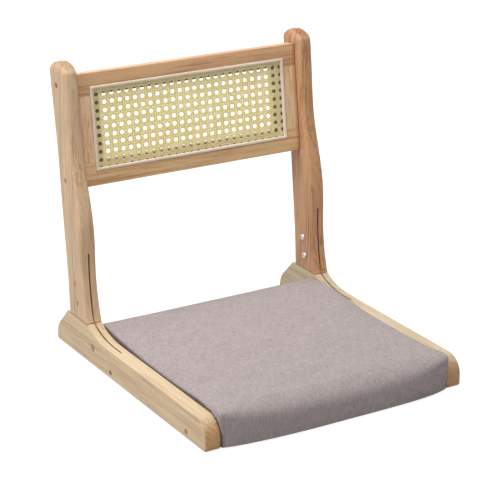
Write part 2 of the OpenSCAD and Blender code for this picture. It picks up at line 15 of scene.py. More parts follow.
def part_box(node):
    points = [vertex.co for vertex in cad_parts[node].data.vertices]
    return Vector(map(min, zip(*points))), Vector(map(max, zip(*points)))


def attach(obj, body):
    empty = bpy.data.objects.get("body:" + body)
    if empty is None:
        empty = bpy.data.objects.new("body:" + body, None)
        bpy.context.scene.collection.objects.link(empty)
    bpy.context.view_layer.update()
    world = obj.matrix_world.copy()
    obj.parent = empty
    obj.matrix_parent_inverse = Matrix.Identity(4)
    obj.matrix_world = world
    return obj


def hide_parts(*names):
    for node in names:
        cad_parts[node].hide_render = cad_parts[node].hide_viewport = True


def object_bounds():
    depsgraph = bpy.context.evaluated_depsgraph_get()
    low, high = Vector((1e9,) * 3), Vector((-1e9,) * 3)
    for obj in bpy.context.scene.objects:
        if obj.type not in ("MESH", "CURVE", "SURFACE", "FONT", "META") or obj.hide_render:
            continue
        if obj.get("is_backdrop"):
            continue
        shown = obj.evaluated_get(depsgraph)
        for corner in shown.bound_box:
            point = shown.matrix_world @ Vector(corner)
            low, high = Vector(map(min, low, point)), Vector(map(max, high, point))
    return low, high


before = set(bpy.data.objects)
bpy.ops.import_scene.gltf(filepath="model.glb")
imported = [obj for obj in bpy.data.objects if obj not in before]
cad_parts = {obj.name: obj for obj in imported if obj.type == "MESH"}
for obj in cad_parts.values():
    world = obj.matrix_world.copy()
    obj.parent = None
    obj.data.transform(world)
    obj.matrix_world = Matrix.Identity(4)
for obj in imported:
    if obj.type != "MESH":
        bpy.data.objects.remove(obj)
cad_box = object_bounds()

MM = 0.001
SIDES = {"left": -1, "right": 1}


def cad_corners(node):
    """The lowest and the highest corner of a CAD node."""
    low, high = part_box(node)
    return np.array(low) / MM, np.array(high) / MM


# Sizes read off the frame
rail_low, rail_high = cad_corners("right_side_rail")
board_low, board_high = cad_corners("seat_board")
hem_low, hem_high = cad_corners("seat_cover")
cloth_low, cloth_high = cad_corners("seat_bottom_cloth")
INNER_X, OUTER_X = rail_low[0], rail_high[0]
MID_X = (INNER_X + OUTER_X) / 2
TIMBER_T = OUTER_X - INNER_X
REAR_Y = rail_high[1]
RAIL_LEN = rail_high[1] - rail_low[1]
HEEL_H = rail_high[2]

# Side rails
RAIL_H = 45
TAIL_R, TAIL_Z = 34, 8
NOSE_R = 28
SOLE_R = 4
HEEL_R = 7
FILLET_LEN = 82
RAIL_EASE = 1.7
SOLE_EASE = 2.4
HEEL_EASE = 0.8

# Back posts
POST_LEAN, CROWN_BACK, POST_BOW = 48.5, 4.5, 0.3
FOOT_DEPTH, FLARE_H = 59, 66
NECK_DEPTH = 53.5
KNEE_DEPTH, KNEE_UP = 59, 145
WAIST_DEPTH, WAIST_UP = 47, 270
CROWN_DEPTH = 52.5
POST_TOP, DOME_H = 453.5, 17
FOOT_LINE = 1.1
POST_EDGE_R, KNEE_EDGE_R, FOOT_EDGE_R = 8.0, 4.0, 1.2

# Hinges and their saw slots
PIVOT = (124, 29)
PIVOT_HEAD_D, PIVOT_HEAD_T, PIVOT_HEAD_PLAY = 12, 1.5, 0.25
PIVOT_BORE_R = 4.05
SAW_R, SLOT_W = 80, 2.7
RAIL_SAW = (128, 88)
POST_SAW = (137, 103)
BOLTS = ((76, 85.4), (70, 115.4))
BOLT_D, BOLT_HEAD_D, BOLT_HEAD_H = 6, 10, 3
NUT_D, NUT_LEN, NUT_RECESS = 8, 8, 1

# Plugs over the screws
PLUG_D, PLUG_T = 8, 5
HOLE_PLAY, SCREW_BORE_R = 0.1, 2.5
SEAT_PLUGS = ((182, 10.3), (413, 10.3))
SEAT_PLUG_STAINS = (0.9, 0.35)
PANEL_PLUG_INS = ((9.5, 14.15), (12.5, 159.4))
PANEL_PLUG_STAINS = (0.1, 0.75)

# Back panel, in its own plane
PANEL_SET, PANEL_Z, PANEL_LEAN = 57, 262, math.radians(7.8)
PANEL_H, PANEL_T = 173, 20
TOP_RAIL_H, BOTTOM_RAIL_H, STILE_W = 34.5, 35.9, 40
SIDE_LEDGE, END_LEDGE, REBATE_D = 17, 14.2, 5
BEAD_W, BEAD_H, CANE_T = 5, 5, 1.5

# Cane webbing
PITCH = (13.08, 12.6)
GAP_COLS, GAP_ROWS = 26, 9
CANE_SHIFT, CANE_RISE = 3.6, 0.5
CANE_MARGIN = 0.5

# Seat
CUSHION_REAR, CUSHION_BULGE, CUSHION_PROUD = 96, 15, 2
CUSHION_EDGE_Z, CUSHION_CROWN, CUSHION_WAIST = 53, 7, 0.3
LEFT_DRAW, RIGHT_DRAW = 1.3, 0.3
RIGHT_LIFT, FRONT_LIFT = 4.5, 2.9
LEFT_SAG, RIGHT_SAG, REAR_RISE = 5.3, 0.6, 0.9
CORNER_ROLL, LEFT_ROLL, RIGHT_ROLL, REAR_ROLL = 2.2, 5, 4, 5
FRONT_ROLL, FRONT_SWELL = 9, 14
CUSHION_CORNER_R, UNDER_R = 3.4, 1
LEFT_EAR, RIGHT_EAR, EAR_REACH = 2.8, 1.5, 14
SOFT_GAP = 0.3
COVER_T, HEM_W = 1.3, 35


# Mesh helpers


def ease(t):
    """0 at t = 0, 1 at t = 1, level at both ends."""
    u = np.clip(t, 0, 1)
    return u * u * (3 - 2 * u)


def arc(centre, r, start, end, steps):
    """Points of an arc, between angles in degrees."""
    turns = np.radians(np.linspace(start, end, steps + 1))
    return [(centre[0] + r * math.cos(a), centre[1] + r * math.sin(a)) for a in turns]


def make_mesh(name, points, faces, sharp=40):
    """An object from points in millimetres, shaded smooth except at edges sharper than that angle."""
    mesh = bpy.data.meshes.new(name)
    mesh.from_pydata([tuple(c * MM for c in p) for p in points], [], faces)
    mesh.validate()
    mesh.shade_smooth()
    mesh.set_sharp_from_angle(angle=math.radians(sharp))
    piece = bpy.data.objects.new(name, mesh)
    bpy.context.scene.collection.objects.link(piece)
    return piece


def tube_faces(count, n):
    """Faces over a number of rings of n points each, with flat ends."""
    last = (count - 1) * n
    faces = [tuple(range(n))[::-1], tuple(range(last, last + n))]
    for at in range(0, last, n):
        for i in range(n):
            j = (i + 1) % n
            faces.append((at + i, at + j, at + n + j, at + n + i))
    return faces


def skin(name, rings, sharp=40):
    """A closed form over rings of as many points each, with flat ends."""
    points = [p for ring in rings for p in ring]
    return make_mesh(name, points, tube_faces(len(rings), len(rings[0])), sharp)


def store(piece, name, values, kind="FLOAT", domain="POINT"):
    """Keeps a value for each point or face of a piece, under a name that its material reads."""
    attribute = piece.data.attributes.new(name, kind, domain)
    field = "vector" if kind == "FLOAT_VECTOR" else "value"
    attribute.data.foreach_set(field, np.asarray(values, np.float32).ravel())


def bake_modifiers(piece):
    """Replaces a piece's mesh with what its modifiers make of it."""
    depsgraph = bpy.context.evaluated_depsgraph_get()
    mesh = bpy.data.meshes.new_from_object(piece.evaluated_get(depsgraph))
    piece.modifiers.clear()
    piece.data = mesh


def thicken(piece, thickness, offset):
    """Gives a sheet its thickness in millimetres, inward for offset -1, both ways for 0."""
    modifier = piece.modifiers.new("Thicken", "SOLIDIFY")
    modifier.thickness = thickness * MM
    modifier.offset = offset
    bake_modifiers(piece)


def cut(piece, cutters, sharp=40):
    """Cuts closed forms out of a piece and deletes them."""
    for cutter in cutters:
        modifier = piece.modifiers.new("Cut", "BOOLEAN")
        modifier.operation = "DIFFERENCE"
        modifier.solver = "EXACT"
        modifier.object = cutter
    bake_modifiers(piece)
    for cutter in cutters:
        bpy.data.objects.remove(cutter)
    piece.data.shade_smooth()
    piece.data.set_sharp_from_angle(angle=math.radians(sharp))


def lathe(name, profile, at, axis_x, steps=48):
    """A turned form about an axis along X. The profile is a closed list of (x, radius),
    measured from x = 0 in the direction of axis_x. A radius of 0 lies on the axis."""
    set_, height = at
    turns = [2 * math.pi * i / steps for i in range(steps)]
    points, rows = [], []
    for x, r in profile:
        if rows and (x, r) == profile[0]:
            rows.append(rows[0])
            continue
        if r == 0:
            rows.append([len(points)] * steps)
            points.append((axis_x * x, REAR_Y - set_, height))
            continue
        rows.append([len(points) + i for i in range(steps)])
        points += [(axis_x * x, REAR_Y - set_ + r * math.cos(a), height + r * math.sin(a)) for a in turns]
    faces = []
    for low, high in zip(rows, rows[1:]):
        for i in range(steps):
            j = (i + 1) % steps
            face = [low[i], low[j], high[j], high[i]]
            face = [v for k, v in enumerate(face) if v not in face[:k]]
            if len(face) > 2:
                faces.append(face if axis_x > 0 else face[::-1])
    return make_mesh(name, points, faces, 30)


def rod(at, r, x0, x1, steps=48):
    """A plain round rod along X, for cutting."""
    low, high = min(x0, x1), max(x0, x1)
    return lathe("rod", [(low, 0), (low, r), (high, r), (high, 0)], at, 1, steps)


def join(name, pieces):
    """One object from several."""
    with bpy.context.temp_override(active_object=pieces[0], selected_editable_objects=pieces):
        bpy.ops.object.join()
    pieces[0].name = name
    return pieces[0]


def dress(piece, body, slot, material, *nodes):
    """Gives a piece its material, lets it ride on a body and stand for CAD nodes; slot is not used."""
    piece.data.materials.clear()
    piece.data.materials.append(material)
    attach(piece, body)
    if nodes:
        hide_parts(*nodes)
    return piece


# Materials


class Nodes:
    """A node tree made node by node. An input takes a number, a colour, a node or its output."""

    def __init__(self, tree):
        self.tree = tree
        tree.nodes.clear()

    def make(self, kind, inputs=None, **settings):
        node = self.tree.nodes.new(kind)
        for key, value in settings.items():
            setattr(node, key, value)
        for key, value in (inputs or {}).items():
            self.put(node.inputs[key], value)
        return node

    def put(self, socket, value):
        if isinstance(value, bpy.types.Node):
            value = value.outputs[0]
        if isinstance(value, bpy.types.NodeSocket):
            self.tree.links.new(value, socket)
        else:
            socket.default_value = value

    def math(self, operation, *values, **settings):
        inputs = dict(enumerate(values))
        return self.make("ShaderNodeMath", inputs, operation=operation, **settings).outputs[0]

    def add(self, *values):
        total = values[0]
        for value in values[1:]:
            total = self.math("ADD", total, value)
        return total

    def times(self, a, b):
        return self.math("MULTIPLY", a, b)

    def swing(self, value, width):
        """A value from 0 to 1 moved to swing about 0, as wide as that from end to end."""
        return self.times(self.math("SUBTRACT", value, 0.5), width)

    def remap(self, value, from_low, from_high, low, high):
        return self.make(
            "ShaderNodeMapRange",
            {"Value": value, "From Min": from_low, "From Max": from_high, "To Min": low, "To Max": high},
            interpolation_type="SMOOTHSTEP",
        ).outputs["Result"]

    def vector(self, x, y, z):
        return self.make("ShaderNodeCombineXYZ", {0: x, 1: y, 2: z}).outputs[0]

    def parts(self, vector):
        return list(self.make("ShaderNodeSeparateXYZ", {0: vector}).outputs)

    def noise(self, vector, scale=1.0, detail=2.0, roughness=0.5, output="Fac"):
        return self.make(
            "ShaderNodeTexNoise",
            {"Vector": vector, "Scale": scale, "Detail": detail, "Roughness": roughness},
        ).outputs[output]

    def stretched(self, places, scales, **settings):
        """Noise over three places, each multiplied by its own scale."""
        return self.noise(self.vector(*(self.times(p, k) for p, k in zip(places, scales))), **settings)

    def mix(self, factor, a, b, blend="MIX"):
        node = self.make("ShaderNodeMix", {0: factor, 6: a, 7: b}, data_type="RGBA", blend_type=blend)
        return node.outputs[2]

    def ramp(self, value, stops):
        node = self.make("ShaderNodeValToRGB", {0: value})
        while len(node.color_ramp.elements) < len(stops):
            node.color_ramp.elements.new(0.5)
        for element, (place, grey) in zip(node.color_ramp.elements, stops):
            element.position = place
            element.color = (grey, grey, grey, 1)
        return node.outputs["Color"]

    def direct_rays(self):
        """1 for rays from the camera, mirrors and glass, 0 for the rest."""
        path = self.make("ShaderNodeLightPath").outputs
        total = path["Is Camera Ray"]
        for name in ("Is Glossy Ray", "Is Transmission Ray"):
            total = self.math("ADD", total, path[name], use_clamp=True)
        return total


class Shader(Nodes):
    """A material with one main surface."""

    def __init__(self, name):
        self.material = bpy.data.materials.new(name)
        self.material.use_nodes = True
        super().__init__(self.material.node_tree)
        self.surface = self.make("ShaderNodeBsdfPrincipled")
        self.output = self.make("ShaderNodeOutputMaterial", {"Surface": self.surface})

    def set(self, **values):
        """Sets inputs of the surface, written with _ for a space."""
        for key, value in values.items():
            self.put(self.surface.inputs[key.replace("_", " ")], value)

    def place(self):
        """Where a point of the piece lies, along each axis in millimetres."""
        return [self.times(c, 1 / MM) for c in self.parts(self.make("ShaderNodeTexCoord").outputs["Object"])]

    def read(self, name, output="Fac"):
        """A value that the mesh keeps under a name."""
        return self.make("ShaderNodeAttribute", attribute_name=name).outputs[output]

    def bump(self, height, distance, strength=1.0):
        """Relief of the surface, with its depth in millimetres."""
        inputs = {"Height": height, "Distance": distance * MM, "Strength": strength}
        self.set(Normal=self.make("ShaderNodeBump", inputs))


def colour(red, green, blue):
    """A colour given as it shows on a screen, 0 to 255, in Blender's linear terms."""
    shares = [c / 255 for c in (red, green, blue)]
    return tuple(c / 12.92 if c <= 0.04045 else ((c + 0.055) / 1.055) ** 2.4 for c in shares) + (1,)


# Where the rings of a piece are centred, by the direction in which its grain runs
GRAIN_ORDER = {"x": (0, 1, 2), "y": (1, 0, 2), "z": (2, 0, 1)}


def wood(name, grain, pith, tones, ring=7.0, tilt=(0.0, 0.0), contrast=0.3, seed=0.0,
         end_x=0, end_tone=(0.92, 0.65, 0.39, 1)):
    """Sawn and lacquered wood, solid through the piece, in a light, a dark and perhaps a
    blush tone. Its rings go round a pith line that passes through pith, in millimetres
    across the grain, and leans by tilt. Faces marked as shaded lie in slots and rebates,
    along the soles and at the posts' feet, and take painted shade. end_x is where a
    board's butt joint lies; towards it the wood takes painted shade for the post's shadow."""
    s = Shader(name)
    light, dark, *blush = tones
    place = s.place()
    order = GRAIN_ORDER[grain]
    along, a, b = (place[i] for i in order)
    body = (s.add(along, seed), a, b)
    # Slow and fine waves that bend the rings, long along the grain
    waves = s.parts(s.stretched(body, (0.006, 0.02, 0.02), output="Color"))
    ripples = s.parts(s.stretched(body, (0.04, 0.3, 0.3), output="Color"))
    across = [
        s.add(value, s.swing(wave, 18), s.swing(ripple, 2.2), s.times(along, lean), -centre)
        for value, wave, ripple, lean, centre in zip((a, b), waves, ripples, tilt, pith)
    ]
    rings = s.times(s.math("SQRT", s.add(*(s.times(c, c) for c in across))), 1 / ring)
    late = s.ramp(s.math("FRACT", rings), ((0.0, 0.5), (0.14, 0.0), (0.5, 0.15), (0.8, 0.6), (0.94, 1.0)))
    good_year = s.noise(s.vector(s.times(s.math("FLOOR", rings), 0.73), seed, 0.0), detail=0.0)
    # End grain shows where the surface faces along the grain
    normal = s.parts(s.make("ShaderNodeTexCoord").outputs["Normal"])
    end_grain = s.remap(s.math("ABSOLUTE", normal[order[0]]), 0.45, 0.95, 0.0, 1.0)
    # Streaks, fibres, pores and slow changes of tone
    streak = s.stretched(body, (0.005, 0.32, 0.32), detail=3, roughness=0.6)
    fibre = s.stretched(body, (0.03, 1.5, 1.5), detail=4, roughness=0.65)
    open_pore = s.remap(s.stretched(body, (0.1, 2.4, 2.4), detail=1), 0.6, 0.7, 0.0, 1.0)
    tone = s.stretched(body, (0.008, 0.05, 0.05))
    strength = s.add(contrast, s.times(end_grain, 0.25))
    grade = s.add(
        0.2,
        s.times(s.times(late, s.remap(good_year, 0.35, 0.65, 0.2, 1.0)), strength),
        s.remap(streak, 0.3, 0.7, -0.27, 0.27),
        s.remap(fibre, 0.3, 0.7, -0.16, 0.16),
        s.remap(tone, 0.3, 0.7, -0.16, 0.16),
        s.times(open_pore, 0.22),
    )
    tint = s.mix(s.remap(grade, 0.0, 1.0, 0.0, 1.0), light, dark)
    if blush:
        patch = s.stretched(body, (0.012, 0.06, 0.06), detail=3)
        tint = s.mix(s.remap(patch, 0.45, 0.7, 0.0, 0.6), tint, blush[0])
    tint = s.mix(s.times(end_grain, 0.75), tint, s.mix(1.0, tint, end_tone, "MULTIPLY"))
    # Painted shade towards the butt joint: a wide reddish band for the post's shadow on the board, then a
    # thin dark line for the shadow in the joint's gap
    if end_x:
        from_middle = s.math("ABSOLUTE", place[0])
        tint = s.mix(s.remap(from_middle, end_x - 8, end_x, 0.0, 0.6), tint, colour(150, 98, 64))
        tint = s.mix(s.remap(from_middle, end_x - 1.3, end_x - 0.3, 0.0, 0.85), tint, colour(70, 42, 26))
    # Faces marked as shaded take painted shade, a dark brown
    s.set(
        Base_Color=s.mix(s.read("shaded"), tint, colour(104, 80, 50)),
        Roughness=s.remap(fibre, 0.3, 0.7, 0.42, 0.56),
        Specular_IOR_Level=0.35,
        Coat_Weight=0.06,
        Coat_Roughness=0.35,
    )
    s.bump(s.add(s.times(fibre, 0.5), s.times(open_pore, -0.6), s.times(late, 0.2)), 0.1, 0.5)
    return s.material


def plug_material():
    """Face-grain plugs, some of them stained darker than others."""
    s = Shader("plug_hardwood")
    fibre = s.stretched(s.place(), (0.5, 1.6, 0.4), detail=3)
    tint = s.mix(s.read("stain"), colour(176, 142, 104), colour(116, 78, 52))
    tint = s.mix(s.remap(fibre, 0.3, 0.7, 0.0, 0.4), tint, s.mix(1.0, tint, (0.62, 0.56, 0.5, 1), "MULTIPLY"))
    s.set(Base_Color=tint, Roughness=s.remap(fibre, 0.3, 0.7, 0.5, 0.65))
    s.bump(fibre, 0.1, 0.5)
    return s.material


def steel(name, tint, roughness, metallic=1.0):
    """Plated, polished or oiled metal with fine turning and handling marks."""
    s = Shader(name)
    place = s.place()
    marks = s.stretched(place, (2.5, 0.5, 2.5), detail=3)
    blotch = s.noise(s.vector(*place), scale=0.25)
    worn = tuple(c * 0.72 for c in tint[:3]) + (1,)
    s.set(
        Base_Color=s.mix(s.remap(blotch, 0.3, 0.7, 0.0, 0.35), tint, worn),
        Roughness=s.remap(marks, 0.3, 0.7, roughness - 0.08, roughness + 0.08),
        Metallic=metallic,
    )
    s.bump(marks, 0.02, 0.4)
    return s.material


def cane_material():
    """Split rattan skin: glossy yellow strands with long fibre lines and darker spots."""
    s = Shader("rattan_cane")
    along, across, own = s.parts(s.read("strand", "Vector"))
    lines = s.stretched((along, across, own), (0.05, 6, 17), detail=3, roughness=0.6)
    patch = s.stretched((along, own, 0.0), (0.06, 31, 1))
    tint = s.mix(s.remap(own, 0.0, 1.0, 0.0, 1.0), colour(255, 252, 224), colour(252, 244, 204))
    tint = s.mix(s.remap(patch, 0.45, 0.8, 0.0, 0.35), tint, colour(242, 226, 176))
    tint = s.mix(s.remap(lines, 0.5, 0.8, 0.0, 0.3), tint, colour(230, 206, 150))
    s.set(
        Base_Color=tint,
        Roughness=s.remap(lines, 0.3, 0.7, 0.35, 0.55),
        Specular_IOR_Level=0.5,
        Coat_Weight=0.2,
        Coat_Roughness=0.25,
    )
    s.bump(lines, 0.05, 0.5)
    # Thin skin lets some light through from behind
    glow = s.make("ShaderNodeBsdfTranslucent", {"Color": tint})
    both = s.make("ShaderNodeMixShader", {0: 0.5, 1: s.surface, 2: glow})
    s.put(s.output.inputs["Surface"], both)
    return s.material


def fabric_material():
    """Plain-woven furnishing fabric in a heathered grey mauve, with slubs both ways."""
    s = Shader("seat_linen")
    across, down, seam = s.parts(s.read("cloth", "Vector"))
    thread = 0.8

    def yarns(over, length, seed):
        """Tone of the yarns of one direction: each has its own, and it drifts along the yarn."""
        number = s.math("FLOOR", s.times(over, 1 / thread))
        single = s.stretched((number, length, seed), (0.61, 0.09, 1), roughness=0.7)
        bundle = s.stretched((over, length, seed + 5), (0.55, 0.07, 1), detail=3, roughness=0.6)
        return s.add(s.swing(single, 0.7), s.swing(bundle, 0.9))

    def wave(kind, over):
        return s.math(kind, s.times(over, math.pi / thread))

    # Each yarn is round across its width and dips where it goes under the other
    warp_round, weft_round = (s.math("ABSOLUTE", wave("SINE", over)) for over in (across, down))
    warp_up = s.remap(s.times(wave("COSINE", across), wave("COSINE", down)), -0.15, 0.15, 0.0, 1.0)
    weave = s.add(s.times(warp_round, warp_up), s.times(weft_round, s.math("SUBTRACT", 1.0, warp_up)))
    tone = s.add(s.times(yarns(across, down, 3.0), 0.68), s.times(yarns(down, across, 11.0), 0.32))
    patch = s.stretched((across, down, 2.0), (0.03, 0.03, 1), detail=3)
    fleck = s.stretched((across, down, 7.0), (0.3, 0.3, 1), detail=3, roughness=0.7)
    relief = s.times(s.math("SUBTRACT", weave, 0.6), 0.25)
    grade = s.add(0.5, tone, relief, s.swing(patch, 0.2), s.swing(fleck, 0.45))
    tint = s.mix(s.remap(grade, 0.0, 1.0, 0.0, 1.0), colour(140, 127, 128), colour(204, 192, 190))
    # The cloth takes painted shade, a dark brown, where it turns down into the gap beside the left rail
    s.set(
        Base_Color=s.mix(s.times(seam, 0.88), tint, colour(78, 58, 50)),
        Roughness=s.remap(weave, 0.0, 1.0, 0.95, 0.82),
        Specular_IOR_Level=0.2,
        Sheen_Weight=0.12,
        Sheen_Roughness=0.5,
    )
    s.bump(s.add(weave, s.times(tone, 0.6)), 0.25, 0.5)
    return s.material


def felt_material():
    """Black spun bottom cloth with its embossed dots."""
    s = Shader("bottom_cloth_spun")
    x, y, z = s.place()
    dots = s.make("ShaderNodeTexVoronoi", {"Vector": s.vector(x, y, 0.0), "Scale": 0.6, "Randomness": 0.1})
    hairs = s.noise(s.vector(x, y, z), scale=3.0, detail=4)
    tint = s.mix(s.remap(hairs, 0.3, 0.7, 0.0, 1.0), colour(30, 30, 32), colour(52, 52, 55))
    s.set(Base_Color=tint, Roughness=s.remap(hairs, 0.3, 0.7, 0.85, 0.95))
    s.bump(s.add(dots.outputs["Distance"], s.times(hairs, 0.3)), 0.1, 0.6)
    return s.material


def foam_material():
    """Cream polyurethane foam with fine open cells."""
    s = Shader("cream_foam")
    place = s.vector(*s.place())
    cells = s.make("ShaderNodeTexVoronoi", {"Vector": place, "Scale": 1.2})
    shade = s.noise(place, scale=0.03, detail=3)
    tint = s.mix(s.remap(shade, 0.3, 0.7, 0.0, 1.0), colour(236, 228, 198), colour(222, 206, 164))
    s.set(Base_Color=tint, Roughness=s.remap(shade, 0.3, 0.7, 0.85, 0.95))
    s.bump(cells.outputs["Distance"], 0.4, 0.8)
    return s.material


def plywood_material():
    """Plywood: thin layers that show as lighter and darker lines at the edges."""
    s = Shader("plywood_board")
    x, y, z = s.place()
    layer = s.math("FLOOR", s.times(z, 1 / 1.5))
    turned = s.math("MODULO", layer, 2.0)
    lengthwise = s.stretched((x, y, layer), (0.03, 0.9, 1), detail=4)
    crosswise = s.stretched((x, y, layer), (0.9, 0.03, 1), detail=4)
    fibre = s.mix(turned, lengthwise, crosswise)
    tint = s.mix(s.remap(fibre, 0.3, 0.7, 0.0, 1.0), colour(214, 188, 144), colour(184, 150, 104))
    tint = s.mix(s.times(turned, 0.35), tint, colour(168, 132, 88))
    s.set(Base_Color=tint, Roughness=s.remap(fibre, 0.3, 0.7, 0.6, 0.75))
    s.bump(fibre, 0.15, 0.5)
    return s.material


# Tones of the wood: light, dark and blush
PALE_RAIL = (colour(224, 199, 162), colour(180, 144, 102), colour(216, 181, 149))
CREAM_RAIL = (colour(218, 201, 168), colour(182, 153, 114), colour(210, 181, 152))
PALE_POST = (colour(228, 196, 159), colour(180, 138, 96), colour(220, 182, 153))
RED_POST = (colour(213, 164, 118), colour(144, 94, 56), colour(214, 162, 134))
TOP_RAIL = (colour(226, 180, 136), colour(170, 118, 76))
BOTTOM_RAIL = (colour(243, 203, 152), colour(184, 134, 84))
STILE = (colour(250, 214, 170), colour(196, 148, 102))
BEAD = (colour(255, 236, 218), colour(230, 202, 178))
BEECH = (colour(216, 180, 138), colour(188, 146, 104))
RAIL_END, POST_END = (0.82, 0.5, 0.29, 1), (0.58, 0.48, 0.4, 1)

rail_wood = {
    "left": wood("left_rail_ash", "y", (-262, -14), PALE_RAIL, 7.5, (0.02, 0.03), 0.28, 40),
    "right": wood("right_rail_ash", "y", (188, -22), CREAM_RAIL, 8, (0, 0.03), 0.15, 655, end_tone=RAIL_END),
}
post_wood = {
    "left": wood("left_post_ash", "z", (-172, 150), PALE_POST, 9, (0.02, 0.04), 0.3, 210, end_tone=POST_END),
    "right": wood("right_post_ash", "z", (224, 196), RED_POST, 6, (-0.02, 0.05), 0.5, 930, end_tone=POST_END),
}
top_wood = wood("panel_top_ash", "x", (260, 330), TOP_RAIL, 7, (0.02, 0.05), 0.28, 330, INNER_X)
bottom_wood = wood("panel_bottom_ash", "x", (260, 350), BOTTOM_RAIL, 7, (0.02, 0.05), 0.28, 360, INNER_X)
upright_wood = wood("panel_stile_ash", "z", (120, 250), STILE, 7, (0.03, 0.02), 0.25, 520, INNER_X)
bead_across = wood("bead_across_ash", "x", (180, 470), BEAD, 6, contrast=0.2, seed=75)
bead_upright = wood("bead_upright_ash", "z", (150, 190), BEAD, 6, contrast=0.2, seed=85)
dowel_wood = wood("dowel_beech", "z", (10, 230), BEECH, 4, seed=95)
plug_wood = plug_material()
cane = cane_material()
linen = fabric_material()
felt = felt_material()
foam = foam_material()
plywood = plywood_material()
bright = steel("bright_nickel", (0.66, 0.66, 0.69, 1), 0.3)
zinc = steel("zinc_plate", (0.66, 0.67, 0.70, 1), 0.4)
dull = steel("dull_nickel", (0.36, 0.30, 0.25, 1), 0.6)
brown = steel("browned_steel", (0.64, 0.50, 0.37, 1), 0.65, 0.7)
oiled = steel("oiled_steel", (0.34, 0.18, 0.085, 1), 0.6, 0.3)


# Side rails


def rail_outline():
    """The rail's side view as points (set, height, ease), with the easing of its edges there."""
    reach = TAIL_R * (1 - math.cos(math.radians(45)))
    heel_set = reach + HEEL_H - TAIL_Z - TAIL_R * math.sin(math.radians(45))
    heel_mid = (heel_set + HEEL_R * math.tan(math.radians(22.5)), HEEL_H - HEEL_R)
    fillet_set = POST_LEAN + FOOT_DEPTH
    outline = arc((SOLE_R, SOLE_R), SOLE_R, 270, 180, 6)
    outline += arc((TAIL_R, TAIL_Z), TAIL_R, 180, 135, 10)
    outline += arc(heel_mid, HEEL_R, 135, 90, 6)
    outline += [(s, HEEL_H) for s in np.linspace(POST_LEAN + 4, fillet_set - 4, 4)]
    for u in np.linspace(0, 1, 29):
        outline.append((fillet_set + FILLET_LEN * u, RAIL_H + (HEEL_H - RAIL_H) * (1 - u) ** 3))
    outline += arc((RAIL_LEN - NOSE_R, RAIL_H - NOSE_R), NOSE_R, 90, 0, 20)
    outline += arc((RAIL_LEN - SOLE_R, SOLE_R), SOLE_R, 0, -90, 6)
    near_heel = [ease((abs(s - (POST_LEAN + FOOT_DEPTH / 2)) - FOOT_DEPTH / 2) / 14) for s, _ in outline]
    eased = []
    for (s, h), away in zip(outline, near_heel):
        upper = RAIL_EASE if h < HEEL_H - 12 else HEEL_EASE + (RAIL_EASE - HEEL_EASE) * away
        eased.append((s, h, upper + (SOLE_EASE - RAIL_EASE) * ease(1 - h / 6)))
    return eased


def inward(outline):
    """Unit directions into a closed outline listed clockwise, one for each point."""
    p = np.array([(s, h) for s, h, _ in outline])
    ahead, behind = np.roll(p, -1, 0) - p, p - np.roll(p, 1, 0)
    ahead /= np.linalg.norm(ahead, axis=1)[:, None]
    behind /= np.linalg.norm(behind, axis=1)[:, None]
    way = ahead + behind
    way /= np.linalg.norm(way, axis=1)[:, None]
    return np.column_stack([way[:, 1], -way[:, 0]])


def saw_slot(centre):
    """What a round saw takes out of the middle of the timber, about its centre."""
    return rod(centre, SAW_R, MID_X - SLOT_W / 2, MID_X + SLOT_W / 2, 160)


def plug_hole(at):
    return rod(at, PLUG_D / 2 + HOLE_PLAY, OUTER_X - PLUG_T, OUTER_X + 1)


def side_rail(side):
    outline = rail_outline()
    normals = inward(outline)
    rings = []
    steps = 5
    for half in (-1, 1):
        for i in range(steps + 1):
            turn = math.radians(90 * (i if half < 0 else steps - i) / steps)
            ring = []
            for (s, h, eased), (ns, nh) in zip(outline, normals):
                inset = eased * (1 - math.sin(turn))
                x = MID_X + half * (TIMBER_T / 2 - eased * (1 - math.cos(turn)))
                ring.append((x, REAR_Y - s - ns * inset, h + nh * inset))
            rings.append(ring)
    rail = skin("rail_" + side, rings)
    sunk_r = PIVOT_HEAD_D / 2 + PIVOT_HEAD_PLAY
    cutters = [saw_slot(RAIL_SAW), rod(PIVOT, PIVOT_BORE_R, INNER_X - 1, OUTER_X + 1)]
    cutters.append(rod(PIVOT, sunk_r, OUTER_X - PIVOT_HEAD_T, OUTER_X + 1))
    cutters.append(rod(PIVOT, sunk_r, INNER_X - 1, INNER_X + PIVOT_HEAD_T))
    for at in SEAT_PLUGS:
        cutters.append(plug_hole(at))
        cutters.append(rod(at, SCREW_BORE_R, INNER_X - 1, OUTER_X - 1))
    cut(rail, cutters, 35)
    shade_faces(rail, in_slot_or_sole)
    return to_side(rail, side)


def shade_faces(piece, depth):
    """Darkens faces with painted shade in slots, rebates, joints and along the soles, by how deep
    the face with that middle, in millimetres, and that normal lies in one, 0 to 1."""
    marks = [depth(*(face.center / MM), face.normal) for face in piece.data.polygons]
    store(piece, "shaded", marks, domain="FACE")


# How dark the painted shade is on slot walls, at the posts' foot joint, along the rails' soles, on the
# panel's sill and in its rebate
SLOT_SHADE, JOINT_SHADE, SOLE_SHADE = 0.15, 1.0, 0.75
SILL_SHADE, REBATE_SHADE = 0.4, 0.9


def in_slot(x, y, z, normal):
    # Painted shade on the saw slot's walls
    wall = abs(abs(x - MID_X) - SLOT_W / 2) < 0.02 and abs(normal.x) > 0.9
    return SLOT_SHADE if wall else 0.0


def in_slot_or_joint(x, y, z, normal):
    # Painted shadow line along the post's foot, where it stands on the rail
    at_joint = z < HEEL_H + FOOT_LINE and normal.z > -0.9
    return JOINT_SHADE if at_joint else in_slot(x, y, z, normal)


def in_slot_or_sole(x, y, z, normal):
    # Painted contact shadow along the rail's lowest edge, by the floor
    return SOLE_SHADE if z < 1.4 else in_slot(x, y, z, normal)


